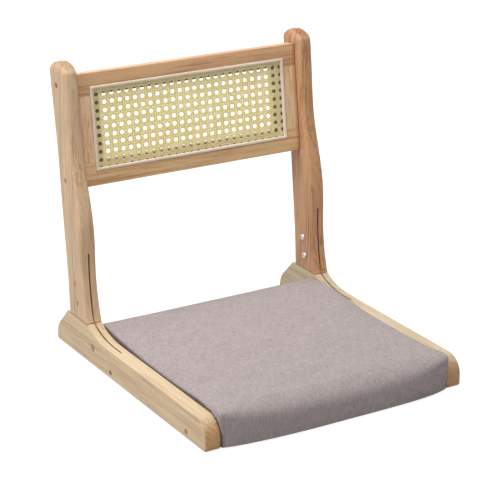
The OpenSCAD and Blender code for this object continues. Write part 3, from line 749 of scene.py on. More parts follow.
def to_side(piece, side):
    """Mirrors a piece made for the right onto the left."""
    if SIDES[side] < 0:
        piece.data.transform(Matrix.Scale(-1, 4, (1, 0, 0)))
        piece.data.flip_normals()
    return piece


# Back posts


def post_ring(height, mid_set, half_depth, half_t, r):
    """A rounded rectangle at one height."""
    steps = 7
    ring = []
    for cx, cy, start in ((1, 1, 0), (-1, 1, 90), (-1, -1, 180), (1, -1, 270)):
        for i in range(steps + 1):
            a = math.radians(start + 90 * i / steps)
            x = MID_X + cx * (half_t - r) + r * math.cos(a)
            y = REAR_Y - mid_set + cy * (half_depth - r) + r * math.sin(a)
            ring.append((x, y, height))
    return ring


def post_rings():
    dome_z = POST_TOP - DOME_H
    height = dome_z - HEEL_H
    rings = []
    steps = 110
    for i in range(steps):
        h = height * (i / steps) ** 1.15
        u = h / height
        rear = (POST_LEAN + CROWN_BACK) * (1 - u) * (1 + POST_BOW * u) - CROWN_BACK
        if h < KNEE_UP:
            depth = NECK_DEPTH + (KNEE_DEPTH - NECK_DEPTH) * ease((h - FLARE_H) / (KNEE_UP - FLARE_H))
        elif h < WAIST_UP:
            depth = KNEE_DEPTH + (WAIST_DEPTH - KNEE_DEPTH) * ease((h - KNEE_UP) / (WAIST_UP - KNEE_UP))
        else:
            depth = WAIST_DEPTH + (CROWN_DEPTH - WAIST_DEPTH) * ease((h - WAIST_UP) / (height - WAIST_UP))
        depth += (FOOT_DEPTH - NECK_DEPTH) * max(0, 1 - h / FLARE_H) ** 3
        r = FOOT_EDGE_R + (KNEE_EDGE_R - FOOT_EDGE_R) * ease(h / FLARE_H)
        r += (POST_EDGE_R - KNEE_EDGE_R) * ease((h - KNEE_UP) / (WAIST_UP - KNEE_UP))
        if i == 0:
            rings.append(post_ring(HEEL_H, rear + depth / 2, depth / 2 - 0.3, TIMBER_T / 2 - 0.3, r))
            rings.append(post_ring(HEEL_H + 0.3, rear + depth / 2, depth / 2, TIMBER_T / 2, r))
            h = FOOT_LINE
        rings.append(post_ring(HEEL_H + h, rear + depth / 2, depth / 2, TIMBER_T / 2, r))
    dome_steps, dome_turn = 18, 87
    for i in range(dome_steps + 1):
        a = math.radians(dome_turn * i / dome_steps)
        h = dome_z + DOME_H * math.sin(a)
        half = CROWN_DEPTH / 2 * math.cos(a)
        half_t = TIMBER_T / 2 - POST_EDGE_R * (1 - math.cos(a))
        rings.append(post_ring(h, CROWN_DEPTH / 2 - CROWN_BACK, half, half_t, min(POST_EDGE_R, half * 0.98)))
    return rings


def from_panel(inside, up):
    """A point of the panel's side view as (set, height)."""
    return (
        PANEL_SET - inside * math.cos(PANEL_LEAN) - up * math.sin(PANEL_LEAN),
        PANEL_Z - inside * math.sin(PANEL_LEAN) + up * math.cos(PANEL_LEAN),
    )


def back_post(side):
    post = skin("post_" + side, post_rings())
    cutters = [saw_slot(POST_SAW)]
    for at in BOLTS:
        cutters.append(rod(at, BOLT_D / 2 + HOLE_PLAY, INNER_X - 1, OUTER_X - 1))
        cutters.append(rod(at, NUT_D / 2 + HOLE_PLAY, OUTER_X - NUT_RECESS - NUT_LEN, OUTER_X + 1))
    cutters += [plug_hole(from_panel(*ins)) for ins in PANEL_PLUG_INS]
    cut(post, cutters, 35)
    shade_faces(post, in_slot_or_joint)
    return to_side(post, side)


# Fittings


def plug(name, at, side, stain):
    """A wooden plug with a slightly eased rim, flush with the outer face. stain is 0 to 1."""
    r, rim = PLUG_D / 2, 0.35
    depth = OUTER_X - PLUG_T + 0.2
    profile = [(depth, 0), (depth, r - 0.1), (OUTER_X - rim, r), (OUTER_X - rim / 3, r - rim / 3)]
    profile += [(OUTER_X, r - rim), (OUTER_X + 0.05, r / 2), (OUTER_X + 0.05, 0)]
    piece = lathe(name, profile, at, SIDES[side])
    store(piece, "stain", [stain] * len(piece.data.vertices))
    return piece


def button_bolt(name, at, side):
    """A button-head bolt driven from the inner face, with a hexagon socket."""
    head_x = INNER_X - BOLT_HEAD_H
    r = BOLT_HEAD_D / 2
    end_x = OUTER_X - NUT_RECESS - 4
    profile = [(head_x, 0), (head_x, r * 0.55), (head_x + 0.25, r * 0.72), (head_x + 0.9, r * 0.9)]
    profile += [(head_x + 1.8, r * 0.985), (INNER_X - 0.5, r), (INNER_X, r - 0.3), (INNER_X, BOLT_D / 2)]
    profile += [(end_x - 0.6, BOLT_D / 2), (end_x, BOLT_D / 2 - 0.6), (end_x, 0)]
    bolt = lathe(name, profile, at, SIDES[side])
    x0, x1 = SIDES[side] * (head_x - 1), SIDES[side] * (head_x + 1.9)
    cut(bolt, [rod(at, BOLT_D / 3, x0, x1, 6)], 30)
    return bolt


def sleeve_nut(name, at, side):
    """A round nut sunk in the outer face, closed there, with a small driver socket."""
    x1 = OUTER_X - NUT_RECESS
    x0 = x1 - NUT_LEN
    r, bore, socket = NUT_D / 2, BOLT_D / 2 + 0.05, 1.6
    profile = [(x0, bore), (x0, r - 0.4), (x0 + 0.4, r), (x1 - 0.5, r), (x1, r - 0.5), (x1, socket + 0.2)]
    profile += [(x1 - 0.2, socket), (x1 - 1.2, socket), (x1 - 1.2, 0)]
    profile += [(x1 - 2.4, 0), (x1 - 2.4, bore), (x0, bore)]
    return lathe(name, profile, at, SIDES[side])


def pivot_sleeve(name, side):
    """The pivot's flat head and sleeve, from outside, with a round driver bore."""
    r = PIVOT_HEAD_D / 2
    x0, rim = OUTER_X - TIMBER_T + PIVOT_HEAD_T, 0.4
    profile = [(x0, 2.5), (x0, 3.9), (OUTER_X - PIVOT_HEAD_T, 4), (OUTER_X - PIVOT_HEAD_T, r)]
    profile += [(OUTER_X - rim, r), (OUTER_X, r - rim), (OUTER_X, 3.6), (OUTER_X - 0.3, 3.2)]
    profile += [(OUTER_X - 1.4, 2.5), (x0, 2.5)]
    return lathe(name, profile, PIVOT, SIDES[side])


def pivot_screw(name, side):
    """The pivot's screw, from inside."""
    r, rim, shank, end_x = PIVOT_HEAD_D / 2, 0.4, 2.45, INNER_X + 13.5
    profile = [(INNER_X, 0), (INNER_X, r - rim), (INNER_X + rim, r), (INNER_X + PIVOT_HEAD_T, r)]
    profile += [(INNER_X + PIVOT_HEAD_T, shank), (end_x - 0.5, shank), (end_x, 2), (end_x, 0)]
    return lathe(name, profile, PIVOT, SIDES[side])


# Back panel


def in_panel(piece):
    """Moves a piece from the panel's own plane to its place."""
    move = Matrix.Translation(Vector((0, REAR_Y - PANEL_SET, PANEL_Z)) * MM)
    piece.data.transform(move @ Matrix.Rotation(-PANEL_LEAN, 4, "X"))
    return piece


def board(name, low, high, axis, radii, end_ease=0.25, steps=4):
    """A planed board from corner low to corner high, with its own radius on each of its
    long edges, listed round the section from its first corner, low in both directions."""
    first, second = [i for i in range(3) if i != axis]
    corners = ((low, low, 180), (high, low, 270), (high, high, 0), (low, high, 90))
    signs = ((1, 1), (-1, 1), (-1, -1), (1, -1))
    a, b = low[axis], high[axis]
    rings = []
    for x, inset in ((a, end_ease), (a + end_ease, 0), (b - end_ease, 0), (b, end_ease)):
        ring = []
        for (p, q, start), (sp, sq), r in zip(corners, signs, radii):
            for i in range(steps + 1):
                turn = math.radians(start + 90 * i / steps)
                place = [x, x, x]
                place[first] = p[first] + sp * (r + inset) + r * math.cos(turn)
                place[second] = q[second] + sq * (r + inset) + r * math.sin(turn)
                ring.append(place)
        rings.append(ring if axis != 1 else ring[::-1])
    return skin(name, rings, 30)


def panel_board(name, low, high, axis, radii):
    """One member of the panel's frame, with the rebate cut where it passes."""
    piece = board(name, low, high, axis, radii, 0.6)
    half, low_z, high_z = rebate_corners()
    cutter = board("rebate", (-half, -5, low_z), (half, REBATE_D, high_z), 0, (0.4, 0.4, 0.4, 0.4))
    cut(piece, [cutter], 30)

    def in_rebate(x, y, z, normal):
        # Painted shade on the rebate's ledge and the opening's walls behind the cane, lighter on the sill
        # that faces up
        within = abs(x) < half + 0.01 and low_z - 0.01 < z < high_z + 0.01 and y > 1
        sill = y > REBATE_D and normal.z > 0.5
        return (SILL_SHADE if sill else REBATE_SHADE) if within else 0.0

    shade_faces(piece, in_rebate)
    return in_panel(piece)


def rebate_corners():
    """Half width, lower and upper edge of the rebate in the panel's plane."""
    half = INNER_X - STILE_W + SIDE_LEDGE
    return half, BOTTOM_RAIL_H - END_LEDGE, PANEL_H - TOP_RAIL_H + END_LEDGE


def bead(name, length, turn, x, z):
    """A bead strip with mitred ends. It is made along X, with its outer edge at z = 0 and its
    back at y = 0, then turned in the panel's plane and laid in the rebate, on the cane's edge."""
    r, gap, steps = 1.4, 0.5, 5
    section = [(gap, 0.0), (BEAD_W, 0.0)]
    section += [(w, -h) for w, h in arc((BEAD_W - r, BEAD_H - r), r, 0, 90, steps)]
    section += [(w, -h) for w, h in arc((gap + r, BEAD_H - r), r, 90, 180, steps)]
    rings = [[(end * (length / 2 - w), y, w) for w, y in section] for end in (1, -1)]
    piece = skin(name, rings, 30)
    move = Matrix.Translation(Vector((x, REBATE_D - CANE_T, z)) * MM)
    piece.data.transform(move @ Matrix.Rotation(math.radians(turn), 4, "Y"))
    return in_panel(piece)


# Cane webbing, woven strand by strand in the panel's plane

STRAND_T, STRAND_STEP = 0.46, 1.7
STRAND_W, DIAGONAL_W, PAIR_GAP = 2.95, 2.7, 3.55


def weave_height(t, stops):
    """Height of a strand at t, from stops (t, height), level at each stop."""
    places, heights = zip(*stops)
    k = np.clip(np.searchsorted(places, t) - 1, 0, len(stops) - 2)
    places, heights = np.array(places), np.array(heights)
    share = (t - places[k]) / (places[k + 1] - places[k])
    return heights[k] + (heights[k + 1] - heights[k]) * ease(share)


def ribbon(start, end, width, stops, own, rng):
    """Points, faces and strand values of one flat strand from start to end in the plane."""
    start, end = np.array(start, float), np.array(end, float)
    length = np.linalg.norm(end - start)
    way = (end - start) / length
    side = np.array([-way[1], way[0]])
    t = np.linspace(0, length, max(4, int(length / STRAND_STEP)))
    drift = 0.14 * np.sin(t * rng.uniform(0.05, 0.12) + rng.uniform(0, 6))
    swell = width * (1 + 0.05 * np.sin(t * rng.uniform(0.06, 0.15) + rng.uniform(0, 6)))
    depth = weave_height(t, stops)
    slope = np.gradient(depth, t)
    # The front is domed and the back is flat
    section = [(-0.5, 0.0), (-0.36, 0.38), (0.0, 0.5), (0.36, 0.38), (0.5, 0.0), (0.3, -0.5), (-0.3, -0.5)]
    points, values = [], []
    for a, b in section:
        mid = start + np.outer(t, way) + np.outer(drift + a * swell, side)
        mid -= np.outer(slope * b * STRAND_T, way)
        points.append(np.column_stack([mid[:, 0], -(depth + b * STRAND_T), mid[:, 1]]))
        values.append(np.column_stack([t, np.full_like(t, a * width), np.full_like(t, own)]))
    # The section runs the other way round from other rings, so its faces are turned
    faces = [face[:1] + face[:0:-1] for face in tube_faces(len(t), len(section))]
    return np.stack(points, 1).reshape(-1, 3), faces, np.stack(values, 1).reshape(-1, 3)


def straight_strands(gap, low, high, upright):
    """Pairs of strands between the gaps, woven over and under the pairs that cross them.
    gap is the middle of the lowest gap on the left."""
    side, along = (0, 1) if upright else (1, 0)
    pitch, start = PITCH[along], low[along]
    lift, flat = 0.27, 1.5
    lines = np.arange(gap[side] - 1.5 * PITCH[side], high[side], PITCH[side])
    crossings = np.arange(gap[along] - 2.5 * pitch, high[along] + 2 * pitch, pitch) - start
    for line in lines:
        for pair in (-1, 1):
            place = line + pair * PAIR_GAP / 2
            if line <= low[side] or not low[side] + STRAND_W / 2 < place < high[side] - STRAND_W / 2:
                continue
            stops = []
            for crossing in crossings:
                for other in (-1, 1):
                    height = lift * pair * other * (1 if upright else -1)
                    stops.append((crossing + other * PAIR_GAP / 2, height))
                stops += [(crossing + pitch / 2 - flat, 0.0), (crossing + pitch / 2 + flat, 0.0)]
            ends = [(place, start), (place, high[along])]
            yield (ends if upright else [end[::-1] for end in ends]), STRAND_W, stops


def diagonal_strands(gap, low, high, rising):
    """Single strands that pass beside the gaps, over one set of pairs and under the other."""
    slope = PITCH[1] / PITCH[0] * (1 if rising else -1)
    lift, flat = 0.54, 1.7
    half = PITCH[0] / 2
    stretch = math.hypot(*PITCH) / PITCH[0]
    span = sum(int((high[i] - low[i]) / PITCH[i]) for i in (0, 1)) + 4
    for k in range(-span, span):
        # A line through the middles of the pair segments above and below the gaps
        at = gap[0] + k * PITCH[0] + half
        at_edges = [(z - gap[1]) / slope + at for z in (low[1], high[1])]
        left, right = max(low[0], min(at_edges)), min(high[0], max(at_edges))
        if right - left < 4:
            continue
        stops = []
        for m in range(math.floor((left - at) / half) - 1, math.ceil((right - at) / half) + 2):
            height = lift if (m % 2 == 0) == rising else -lift
            middle = (at + m * half - left) * stretch
            stops += [(middle - flat, height), (middle + flat, height)]
        yield [(x, gap[1] + (x - at) * slope) for x in (left, right)], DIAGONAL_W, stops


def cane_webbing():
    half, low_z, high_z = rebate_corners()
    low = (-half + CANE_MARGIN, low_z + CANE_MARGIN)
    high = (half - CANE_MARGIN, high_z - CANE_MARGIN)
    gap_x = CANE_SHIFT - (GAP_COLS - 1) / 2 * PITCH[0]
    gap_z = (low[1] + high[1]) / 2 + CANE_RISE - (GAP_ROWS - 1) / 2 * PITCH[1]
    strands = []
    for weave in (straight_strands, diagonal_strands):
        for way in (True, False):
            strands += weave((gap_x, gap_z), low, high, way)
    rng = np.random.default_rng(12)
    points, faces, values = [], [], []
    count = 0
    for (start, end), width, stops in strands:
        width *= rng.uniform(0.93, 1.06)
        p, f, v = ribbon(start, end, width, stops, rng.uniform(), rng)
        points.append(p)
        values.append(v)
        faces += [tuple(i + count for i in face) for face in f]
        count += len(p)
    points = np.concatenate(points)
    points[:, 1] += REBATE_D - CANE_T / 2
    piece = make_mesh("cane_weave", points, faces, 60)
    store(piece, "strand", np.concatenate(values), "FLOAT_VECTOR")
    return in_panel(piece)


# Seat


def front_at(u):
    """The front's distance from the rails' rear ends. It bulges further to the right."""
    power = np.where(u < 0, 3.2, 6.0)
    return RAIL_LEN + CUSHION_BULGE - (CUSHION_BULGE - CUSHION_PROUD) * np.abs(u) ** power


def in_plan(u, v, z, inset_x, inset_y):
    """A point of the pad at u from left to right and v from front to rear, both -1 to 1,
    at height z, drawn in from its outline."""
    draw = np.where(u < 0, LEFT_DRAW, RIGHT_DRAW) * (1 - v * v) * ease((z - board_high[2]) / 20)
    front = front_at(u)
    middle, half = (CUSHION_REAR + front) / 2, (front - CUSHION_REAR) / 2
    x = u * (INNER_X - SOFT_GAP - draw - inset_x)
    return np.stack([x, REAR_Y - middle + v * (half - inset_y), z + 0 * x], -1)


def top_height(u, v):
    """Height of the pad's top: level at front and rear, sagging and rising along the sides."""
    left = -LEFT_SAG * (1 - v**4) ** 2
    right = RIGHT_LIFT * ease((v + 0.1) / 0.7) * (1 - ease((v - 0.8) / 0.22)) - RIGHT_SAG * (1 - v * v) ** 4
    side = np.where(u < 0, left, right) + FRONT_LIFT * ease((-v - 0.7) / 0.3)
    crown = CUSHION_CROWN * (1 - np.abs(u) ** 2.4) * (1 - np.abs(v) ** 2.4)
    return CUSHION_EDGE_Z + REAR_RISE * ease(v) + side * u * u + crown


def roll_across(u, v):
    side_roll = np.where(u < 0, LEFT_ROLL, RIGHT_ROLL)
    return CORNER_ROLL + (side_roll - CORNER_ROLL) * (1 - v * v)


def roll_along(u, v):
    return np.where(v > 0, REAR_ROLL, FRONT_ROLL + FRONT_SWELL * (1 - np.abs(u) ** 3))


def rounded(u, v):
    """Rounds the corners of the square of places, and leaves the rest."""
    ru, rv = CUSHION_CORNER_R / INNER_X, 2 * CUSHION_CORNER_R / (RAIL_LEN - CUSHION_REAR)
    a, b = (np.abs(u) - 1 + ru) / ru, (np.abs(v) - 1 + rv) / rv
    near = (a > 0) & (b > 0)
    pull = np.where(near, np.maximum(a, b) / np.maximum(np.hypot(a, b), 1e-9), 1)
    return (
        np.where(near, np.sign(u) * (1 - ru + ru * a * pull), u),
        np.where(near, np.sign(v) * (1 - rv + rv * b * pull), v),
    )


def halved(values, axis=0, closed=False):
    """Puts a midpoint between neighbours along an axis, on a smooth curve through them."""
    v = np.moveaxis(np.asarray(values, float), axis, 0)
    ends = np.concatenate([v[-1:], v, v[:2]]) if closed else np.concatenate([v[:1], v, v[-1:]])
    mids = (9 * (ends[1:-2] + ends[2:-1]) - ends[:-3] - ends[3:]) / 16
    out = np.empty((len(v) + len(mids),) + v.shape[1:])
    out[0::2], out[1::2] = v, mids
    return np.moveaxis(out, 0, axis)


def grid_lines(half, fine):
    """Places from -1 to 1 along a side, closer together towards its ends."""
    close = np.array([0, 1.5, 3, 4.5, 6, 9, 13]) / half
    middle = np.linspace(-1 + close[-1], 1 - close[-1], round((half - 13) / 2.75) + 1)
    lines = np.concatenate([-1 + close[:-1], middle, 1 - close[:-1][::-1]])
    if not fine:
        return lines
    between = (lines[1:] + lines[:-1]) / 2
    return np.sort(np.concatenate([lines, between]))


def rim_of(grid):
    """The outer places of a grid as one loop, from the front left corner."""
    return np.concatenate([grid[0, :-1], grid[:-1, -1], grid[-1, :0:-1], grid[:0:-1, 0]])


# Steps down the side: angles of the roll, shares of the wall, and hem rings under the board
ROLL_STEPS, WALL_STEPS, HEM_INSETS = 5, 8, (UNDER_R, 18.0, COVER_T + HEM_W)


def pad_form(fine):
    """Top grid and rings of the pad, drawn in at the waist between its corners."""
    u, v = np.meshgrid(grid_lines(INNER_X, fine), grid_lines((RAIL_LEN - CUSHION_REAR) / 2, fine))
    u, v = rounded(u, v)
    top = in_plan(u, v, top_height(u, v), roll_across(u, v), roll_along(u, v))
    ru, rv = rim_of(u), rim_of(v)
    edge = top_height(ru, rv)
    a, b = np.abs(ru) ** 14, np.abs(rv) ** 14
    across, along = roll_across(ru, rv), roll_along(ru, rv)
    up = (a * across + b * along) / (a + b)
    waist = CUSHION_WAIST * (1 - np.minimum(np.abs(ru), np.abs(rv)) ** 2)
    bottom = hem_low[2]
    scale = 2 if fine else 1
    rings = []
    for turn in np.radians(np.linspace(90, 0, ROLL_STEPS * scale + 1)[1:]):
        bow = waist * math.cos(turn)
        turned = 1 - math.cos(turn)
        z = edge - up * (1 - math.sin(turn))
        rings.append(in_plan(ru, rv, z, bow + across * turned, bow + along * turned))
    for share in np.linspace(0, 1, WALL_STEPS * scale + 1)[1:]:
        z = (edge - up) * (1 - share) + (bottom + UNDER_R) * share
        bow = waist * ease((z - board_high[2]) / 10)
        rings.append(in_plan(ru, rv, z, bow, bow))
    insets = np.array((0.0,) + HEM_INSETS)
    if fine:
        insets = np.sort(np.concatenate([insets, (insets[1:] + insets[:-1]) / 2]))
    for inset in insets[1:]:
        z = bottom + UNDER_R * (1 - min(1, inset / UNDER_R))
        rings.append(in_plan(ru, rv, 0 * ru + z, inset, inset))
    return top, np.array(rings)


def grid_starts(rows, cols):
    """The first point of each face over a grid that is listed row by row."""
    return [r * cols + c for r in range(rows - 1) for c in range(cols - 1)]


def pad_mesh(name, top, rings, capped):
    """A mesh over a top grid and the rings that go down from it."""
    rows, cols = top.shape[:2]
    count = rings.shape[1]
    faces = [(at, at + 1, at + cols + 1, at + cols) for at in grid_starts(rows, cols)]
    upper = rim_of(np.arange(rows * cols).reshape(rows, cols)).tolist()
    for k in range(len(rings)):
        start = rows * cols + k * count
        lower = list(range(start, start + count))
        for i in range(count):
            j = (i + 1) % count
            faces.append((upper[j], upper[i], lower[i], lower[j]))
        upper = lower
    if capped:
        faces.append(tuple(upper[::-1]))
    points = np.concatenate([top.reshape(-1, 3), rings.reshape(-1, 3)])
    return make_mesh(name, points, faces, 180)


def read_points(mesh, field="co"):
    """The places or normals of a mesh's points, as Blender keeps them."""
    values = np.zeros(len(mesh.vertices) * 3, np.float32)
    mesh.vertices.foreach_get(field, values)
    return values.reshape(-1, 3)


def mesh_points(piece):
    """A piece's points in millimetres."""
    return read_points(piece.data).astype(float) / MM


def set_points(piece, points):
    piece.data.vertices.foreach_set("co", (points * MM).astype(np.float32).ravel())
    piece.data.update()


def inflate(piece):
    """How far each point of a pad moves as it swells, by cloth simulation, held more and
    more firmly towards the board's underside."""
    frames, pressure, most = 20, 4.0, 2.5
    start = mesh_points(piece)
    held = piece.vertex_groups.new(name="held")
    for i, (_, _, z) in enumerate(start):
        held.add([i], float(1 - ease((z - board_low[2] + 4) / 40)), "REPLACE")
    modifier = piece.modifiers.new("Cloth", "CLOTH")
    settings = modifier.settings
    settings.vertex_group_mass = "held"
    settings.use_pressure = True
    settings.uniform_pressure_force = pressure
    settings.effector_weights.gravity = 0
    settings.quality = 6
    settings.tension_stiffness = 20
    settings.compression_stiffness = 20
    settings.bending_stiffness = 0.6
    modifier.collision_settings.use_collision = False
    modifier.point_cache.frame_start = 1
    modifier.point_cache.frame_end = frames
    for number in range(1, frames + 1):
        bpy.context.scene.frame_set(number)
    depsgraph = bpy.context.evaluated_depsgraph_get()
    swollen = piece.evaluated_get(depsgraph).data
    move = read_points(swollen) / MM - start
    size = np.linalg.norm(move, axis=1)[:, None]
    piece.modifiers.clear()
    bpy.context.scene.frame_set(1)
    return move * np.minimum(1, most / np.maximum(size, 1e-6))


def past_nose(points):
    """How far points are in front of the rails' rounded noses, at their own height."""
    rise = np.clip(points[..., 2] - (RAIL_H - NOSE_R), 0, NOSE_R)
    return REAR_Y - RAIL_LEN + NOSE_R - np.sqrt(NOSE_R**2 - rise**2) - points[..., 1]


def within_rails(points):
    """Keeps the pad clear of the rails, of the floor and of the posts, and lets its front
    corners spread over the noses of the rails."""
    points[..., 0] = np.clip(points[..., 0], -(INNER_X - SOFT_GAP), INNER_X - SOFT_GAP)
    points[..., 1] = np.clip(points[..., 1], hem_low[1], hem_high[1])
    points[..., 2] = np.clip(points[..., 2], hem_low[2], None)
    x = points[..., 0]
    ear = np.where(x < 0, LEFT_EAR, RIGHT_EAR) * ease((np.abs(x) - INNER_X + EAR_REACH) / (EAR_REACH - 1))
    points[..., 0] += np.sign(x) * ear * ease((past_nose(points) - 1) / 9)
    return points


def seam_shade(points):
    """Painted shade on the cloth, 0 to 1, for the shadow where it turns down into the gap beside the left
    rail.
    """
    x, y, z = points[..., 0], points[..., 1], points[..., 2]
    above_rail = ease((z - RAIL_H - 1) / 3.5) * ease((REAR_Y - RAIL_LEN / 2 - y) / 60)
    beside = (1 - ease((x + INNER_X - 2.5) / 3.5)) * (1 - above_rail)
    ahead_of_rear = ease((REAR_Y - CUSHION_REAR - 6 - y) / 6)
    return beside * ahead_of_rear * (1 - ease((past_nose(points) - 0.5) / 3))


def cloth_places(top, rings):
    """Where each point of the cover lies on its flat cloth, across and down in millimetres,
    and its painted shade at the seam."""
    rim = rim_of(top)
    ahead = np.roll(rim, -1, 0) - np.roll(rim, 1, 0)
    outward = np.column_stack([ahead[:, 1], -ahead[:, 0]])
    outward /= np.linalg.norm(outward, axis=1)[:, None]
    places, drop, last = [top[..., :2].reshape(-1, 2)], 0, rim
    for ring in rings:
        drop = drop + np.linalg.norm(ring - last, axis=1)[:, None]
        places.append(rim[:, :2] + outward * drop)
        last = ring
    shade = np.concatenate([seam_shade(top).ravel(), seam_shade(rings).ravel()])
    return np.column_stack([np.concatenate(places), shade])


def tuck_corners(points):
    """Presses a folded pleat into each front corner, from the lower edge up."""
    x, y, z = points[..., 0], points[..., 1], points[..., 2]
    pleat_in, pleat_w = 5.5, 0.9
    front = ease((hem_low[1] + 40 - y) / 10)
    for side in (-1, 1):
        away = side * x - (INNER_X - pleat_in)
        groove = np.exp(-((away / pleat_w) ** 2)) * ease((CUSHION_EDGE_Z - 8 - z) / 18) * front
        points[..., 1] += groove
    return points


def seat_cushion():
    """The upholstered pad: its cover with a hem under the board, and the foam in it."""
    top, rings = pad_form(False)
    foam_block = pad_mesh("seat_foam_block", top, rings, True)
    move = np.zeros((len(foam_block.data.vertices), 3))
    move = inflate(foam_block)
    set_points(foam_block, within_rails(mesh_points(foam_block) + move))
    hollow_foam(foam_block)
    # The cover follows the swollen form on a mesh twice as fine
    split = top.size // 3
    move_top = move[:split].reshape(top.shape)
    move_rings = np.concatenate([rim_of(move_top)[None], move[split:].reshape(rings.shape)])
    top, rings = pad_form(True)
    top = top + halved(halved(move_top, 0), 1)
    rings = rings + halved(halved(move_rings, 0), 1, True)[1:]
    top, rings = within_rails(tuck_corners(top)), within_rails(tuck_corners(rings))
    cover = pad_mesh("seat_pad_cover", top, rings, False)
    store(cover, "cloth", cloth_places(top, rings), "FLOAT_VECTOR")
    thicken(cover, COVER_T, -1)
    cover.data.shade_smooth()
    return cover, foam_block


def hollow_foam(piece):
    """Draws the foam in under the cover and cuts the board's place out of it."""
    set_points(piece, mesh_points(piece) - (COVER_T + 0.2) * read_points(piece.data, "normal"))
    low = board_low - (10, 0, 10)
    high = board_high + (10, 10, 0)
    cut(piece, [board("board_place", low, high, 0, (0.1,) * 4)], 30)


def bottom_cloth():
    """A thin sheet stretched under the seat."""
    cols, rows = 60, 56
    (x0, y0, _), (x1, y1, _) = cloth_low, cloth_high
    x, y = np.meshgrid(np.linspace(x0, x1, cols), np.linspace(y0, y1, rows))
    from_edge = np.minimum(np.minimum(x - x0, x1 - x), np.minimum(y - y0, y1 - y))
    ripple = 0.08 * np.sin(x / 9 + np.sin(y / 23)) * np.exp(-from_edge / 14)
    z = cloth_high[2] - 0.35 + 0.1 * ease(from_edge / 30) + ripple
    points = np.column_stack([x.ravel(), y.ravel(), z.ravel()])
    faces = [(at, at + cols, at + cols + 1, at + 1) for at in grid_starts(rows, cols)]
    sheet = make_mesh("bottom_cloth_sheet", points, faces, 180)
    thicken(sheet, 0.25, 0)
    return sheet


def staples():
    """Staples along the edge of the bottom cloth."""
    crown, wire, leg = 10.0, 0.7, 2.0
    top = hem_low[2] - 0.85
    (x0, y0, _), (x1, y1, _) = cloth_low, cloth_high
    places = [(x, y, 0) for x in np.linspace(x0 + 20, x1 - 20, 9) for y in (y0 + 5, y1 - 5)]
    places += [(x, y, 1) for y in np.linspace(y0 + 20, y1 - 20, 8) for x in (x0 + 5, x1 - 5)]
    bars = []
    for x, y, way in places:
        half = np.array([wire / 2, wire / 2, 0])
        half[way] = crown / 2
        low = np.array([x, y, top]) - half
        high = np.array([x, y, top + 0.45]) + half
        bars.append(board("staple", low, high, way, (0.15,) * 4, 0.15, 2))
        for end in (-1, 1):
            mid = np.array([x, y, 0.0])
            mid[way] += end * (crown - wire) / 2
            low = mid + (-wire / 2, -wire / 2, top + 0.3)
            high = mid + (wire / 2, wire / 2, top + 0.3 + leg)
            bars.append(board("leg", low, high, 2, (0.1,) * 4, 0.1, 2))
    return join("seat_staples", bars)


# The chair's pieces

for side in SIDES:
    dress(side_rail(side), "base", "rail_wood", rail_wood[side], side + "_side_rail")
    dress(back_post(side), "backrest", "post_wood", post_wood[side], side + "_back_post")
    dress(pivot_sleeve("pivot_sleeve_" + side, side), "base", "pivot_steel", dull, side + "_pivot_sleeve")
    dress(pivot_screw("pivot_screw_" + side, side), "base", "pivot_steel", dull, side + "_pivot_screw")
    bolts = join("bolts_" + side, [button_bolt("bolt", at, side) for at in BOLTS])
    dress(bolts, "backrest", "bright_steel", bright, side + "_post_bolts")
    nuts = join("nuts_" + side, [sleeve_nut("nut", at, side) for at in BOLTS])
    dress(nuts, "backrest", "pivot_steel", brown, side + "_post_nuts")

panel_plug_places = [from_panel(*ins) for ins in PANEL_PLUG_INS]
for name, body, node, places, stains in (
    ("seat_plugs", "base", "seat_screw_plugs", SEAT_PLUGS, SEAT_PLUG_STAINS),
    ("panel_plugs", "backrest", "panel_screw_plugs", panel_plug_places, PANEL_PLUG_STAINS),
):
    plugs = [plug("plug", at, side, stain) for side in SIDES for at, stain in zip(places, stains)]
    dress(join(name, plugs), body, "plug_wood", plug_wood, node)

sharp, eased = 0.3, 1.6
stile_top = PANEL_H - TOP_RAIL_H
for name, z0, z1, edges, material in (
    ("top_rail", stile_top, PANEL_H, (sharp, sharp, eased, eased), top_wood),
    ("bottom_rail", 0, BOTTOM_RAIL_H, (eased, eased, sharp, sharp), bottom_wood),
):
    rail = panel_board("panel_" + name, (-INNER_X, 0, z0), (INNER_X, PANEL_T, z1), 0, edges)
    dress(rail, "backrest", "panel_wood", material, "back_" + name)
for side, sign in SIDES.items():
    x0, x1 = sorted((sign * (INNER_X - STILE_W), sign * INNER_X))
    low, high = (x0, 0, BOTTOM_RAIL_H), (x1, PANEL_T, stile_top)
    stile = panel_board("panel_stile_" + side, low, high, 2, (sharp,) * 4)
    dress(stile, "backrest", "panel_wood", upright_wood, "back_" + side + "_stile")

rebate_half, rebate_low, rebate_high = rebate_corners()
rebate_tall, rebate_mid = rebate_high - rebate_low, (rebate_low + rebate_high) / 2
bead_places = {
    "top": (2 * rebate_half, 180, 0, rebate_high, bead_across),
    "bottom": (2 * rebate_half, 0, 0, rebate_low, bead_across),
    "left": (rebate_tall, 90, -rebate_half, rebate_mid, bead_upright),
    "right": (rebate_tall, -90, rebate_half, rebate_mid, bead_upright),
}
for name, (length, turn, x, z, material) in bead_places.items():
    strip = bead("bead_" + name, length, turn, x, z)
    dress(strip, "backrest", "bead_wood", material, name + "_bead")

dress(cane_webbing(), "backrest", "cane", cane, "cane_webbing")

cover, foam_block = seat_cushion()
dress(cover, "base", "seat_fabric", linen, "seat_cover")
dress(foam_block, "base", "foam", foam, "seat_foam")
sheet = bottom_cloth()
dress(sheet, "base", "bottom_cloth", felt, "seat_bottom_cloth")
dress(staples(), "base", "steel", zinc)

